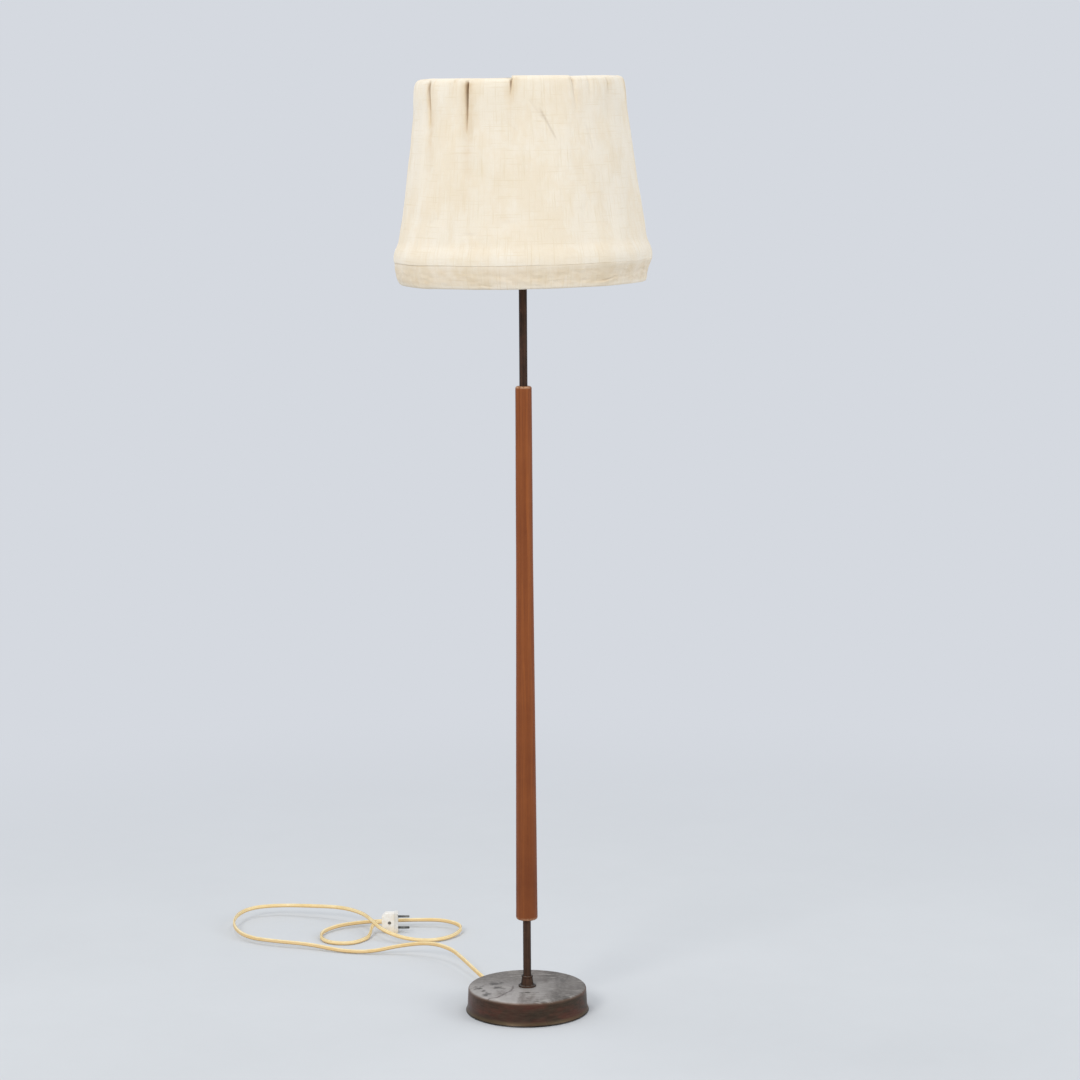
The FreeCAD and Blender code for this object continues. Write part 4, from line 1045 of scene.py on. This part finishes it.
# ---------------- strain relief of the flex
RELIEF_FLANGE_R, RELIEF_FLANGE_T = 6.4 * MM, 2 * MM
RELIEF_RIBS = 6
RELIEF_FIRST_R, RELIEF_LAST_R = 5.6 * MM, 4.1 * MM
RELIEF_RIB_L, RELIEF_GROOVE_L, RELIEF_GROOVE_DEPTH = 2.2 * MM, 1.5 * MM, 0.55 * MM
RELIEF_SIDES, RELIEF_ROUNDING = 40, 0.22 * MM


def select_end(piece, least_z):
    """In edit mode, selects the faces that lie above this height and face along Z."""
    body = bmesh.from_edit_mesh(piece.data)
    for face in body.faces:
        face.select_set(face.normal.z > 0.9 and face.calc_center_median().z > least_z)
    bmesh.update_edit_mesh(piece.data)


def extrude_up(length):
    bpy.ops.mesh.extrude_region_move(TRANSFORM_OT_translate={"value": (0, 0, length)})


def strain_relief():
    """Tapered ribbed sleeve of the bushing, round the first part of the free flex."""
    bpy.ops.object.select_all(action="DESELECT")
    bpy.ops.mesh.primitive_cylinder_add(
        vertices=RELIEF_SIDES, radius=RELIEF_FLANGE_R, depth=RELIEF_FLANGE_T,
        location=(0, 0, RELIEF_FLANGE_T / 2))
    relief = bpy.context.object
    relief.name = "flex_strain_relief"
    bpy.ops.object.transform_apply(location=True, rotation=False, scale=False)
    bpy.ops.object.mode_set(mode="EDIT")
    bpy.ops.mesh.select_mode(type="FACE")
    radius = RELIEF_FLANGE_R
    select_end(relief, RELIEF_FLANGE_T - 0.1 * MM)
    for i in range(RELIEF_RIBS):
        rib_r = RELIEF_FIRST_R + (RELIEF_LAST_R - RELIEF_FIRST_R) * i / (RELIEF_RIBS - 1)
        groove_r = rib_r - RELIEF_GROOVE_DEPTH
        bpy.ops.mesh.inset(thickness=radius - groove_r, depth=0)
        extrude_up(RELIEF_GROOVE_L)
        extrude_up(0)
        wider = rib_r / groove_r
        bpy.ops.transform.resize(value=(wider, wider, 1))
        extrude_up(RELIEF_RIB_L)
        radius = rib_r
    bpy.ops.object.mode_set(mode="OBJECT")
    round_edges = relief.modifiers.new("round_edges", "BEVEL")
    round_edges.width = RELIEF_ROUNDING
    round_edges.segments = 2
    apply_modifiers(relief)
    bpy.ops.object.shade_smooth_by_angle(angle=radians(40))
    start, onward = (Vector(p) * MM for p in FLEX_ROUTE[:2])
    turn = (onward - start).to_track_quat("Z", "X").to_matrix().to_4x4()
    relief.matrix_world = Matrix.Translation(start) @ turn
    only(relief)
    bpy.ops.object.transform_apply(location=True, rotation=True, scale=True)
    give_finish(relief, BAKELITE)
    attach(relief, "stand")


strain_relief()


# ---------------- studio
BACKGROUND = paint(213, 217, 224)
BLACK = 0, 0, 0, 1
FLOOR_R = 30
NEAR_LAMP, FAR_FROM_LAMP = 0.7, 2.3       # metres from the lamp where the floor passes over
# name, place, what it points at, size, power, colour
LIGHTS = [("key_light", (-2.3, -3.8, 3.2), (0, 0, 0.8), 1.8, 92, (1, 0.99, 0.97)),
          ("fill_light", (3.8, -1.6, 2.2), (0, 0, 0.8), 2.4, 44, (0.98, 0.99, 1)),
          ("top_light_left", (-1.2, 0.6, 3.9), (-0.2, 0.2, 0), 1.3, 20, (1, 1, 1)),
          ("top_light_right", (1.4, 1, 3.9), (0, 0.2, 0), 1.3, 14, (1, 1, 1))]


def studio_material():
    """Pale floor that passes into the even tone of the background away from the lamp."""
    def build(r, place):
        share = r.ramp(r.vector("LENGTH", place["Object"]), NEAR_LAMP, FAR_FROM_LAMP)
        speck = r.mottle(place["Object"], 3, 0.3)
        near = r.mix(speck, paint(206, 208, 209), paint(209, 211, 212))
        return {"Base_Color": r.mix(share, near, BLACK),
                "Emission_Color": r.mix(share, BLACK, BACKGROUND)}
    return finish("studio_floor", build, Roughness=0.9, Specular_IOR_Level=0,
                  Emission_Strength=1)


def studio_floor():
    """Large round floor with rings of faces, flat all round."""
    bpy.ops.object.select_all(action="DESELECT")
    bpy.ops.mesh.primitive_circle_add(vertices=96, radius=FLOOR_R, fill_type="NGON")
    floor = bpy.context.object
    floor.name = "studio_floor"
    bpy.ops.object.mode_set(mode="EDIT")
    bpy.ops.mesh.select_all(action="SELECT")
    for width in (23, 3.5):
        bpy.ops.mesh.inset(thickness=width, depth=0)
    bpy.ops.object.mode_set(mode="OBJECT")
    give_finish(floor, studio_material())


def soft_light(name, place, aim, size, power, colour):
    lamp = bpy.data.lights.new(name, "AREA")
    lamp.shape = "DISK"
    lamp.size = size
    lamp.energy = power
    lamp.color = colour
    holder = in_scene(name, lamp)
    holder.location = place
    holder.rotation_euler = (Vector(aim) - Vector(place)).to_track_quat("-Z", "Y").to_euler()


studio_floor()
for light in LIGHTS:
    soft_light(*light)

world = bpy.data.worlds.new("studio_air")
world.use_nodes = True
air = world.node_tree.nodes["Background"].inputs
air["Color"].default_value = BACKGROUND
air["Strength"].default_value = 1
bpy.context.scene.world = world
bpy.context.scene.view_settings.view_transform = "Standard"

# ---------------- camera
CAMERA_PLACE = 0.02314, -4.445, 1.361
LENS = 100.67             # on a sensor 36 mm wide
LOOK_DOWN, ROLL = radians(8.19), radians(-0.325)

camera = in_scene("camera", bpy.data.cameras.new("camera"))
camera.data.sensor_width = 36
camera.data.lens = LENS
look = Matrix.Rotation(pi / 2 - LOOK_DOWN, 4, "X") @ Matrix.Rotation(ROLL, 4, "Z")
camera.matrix_world = Matrix.Translation(CAMERA_PLACE) @ look
bpy.context.scene.camera = camera
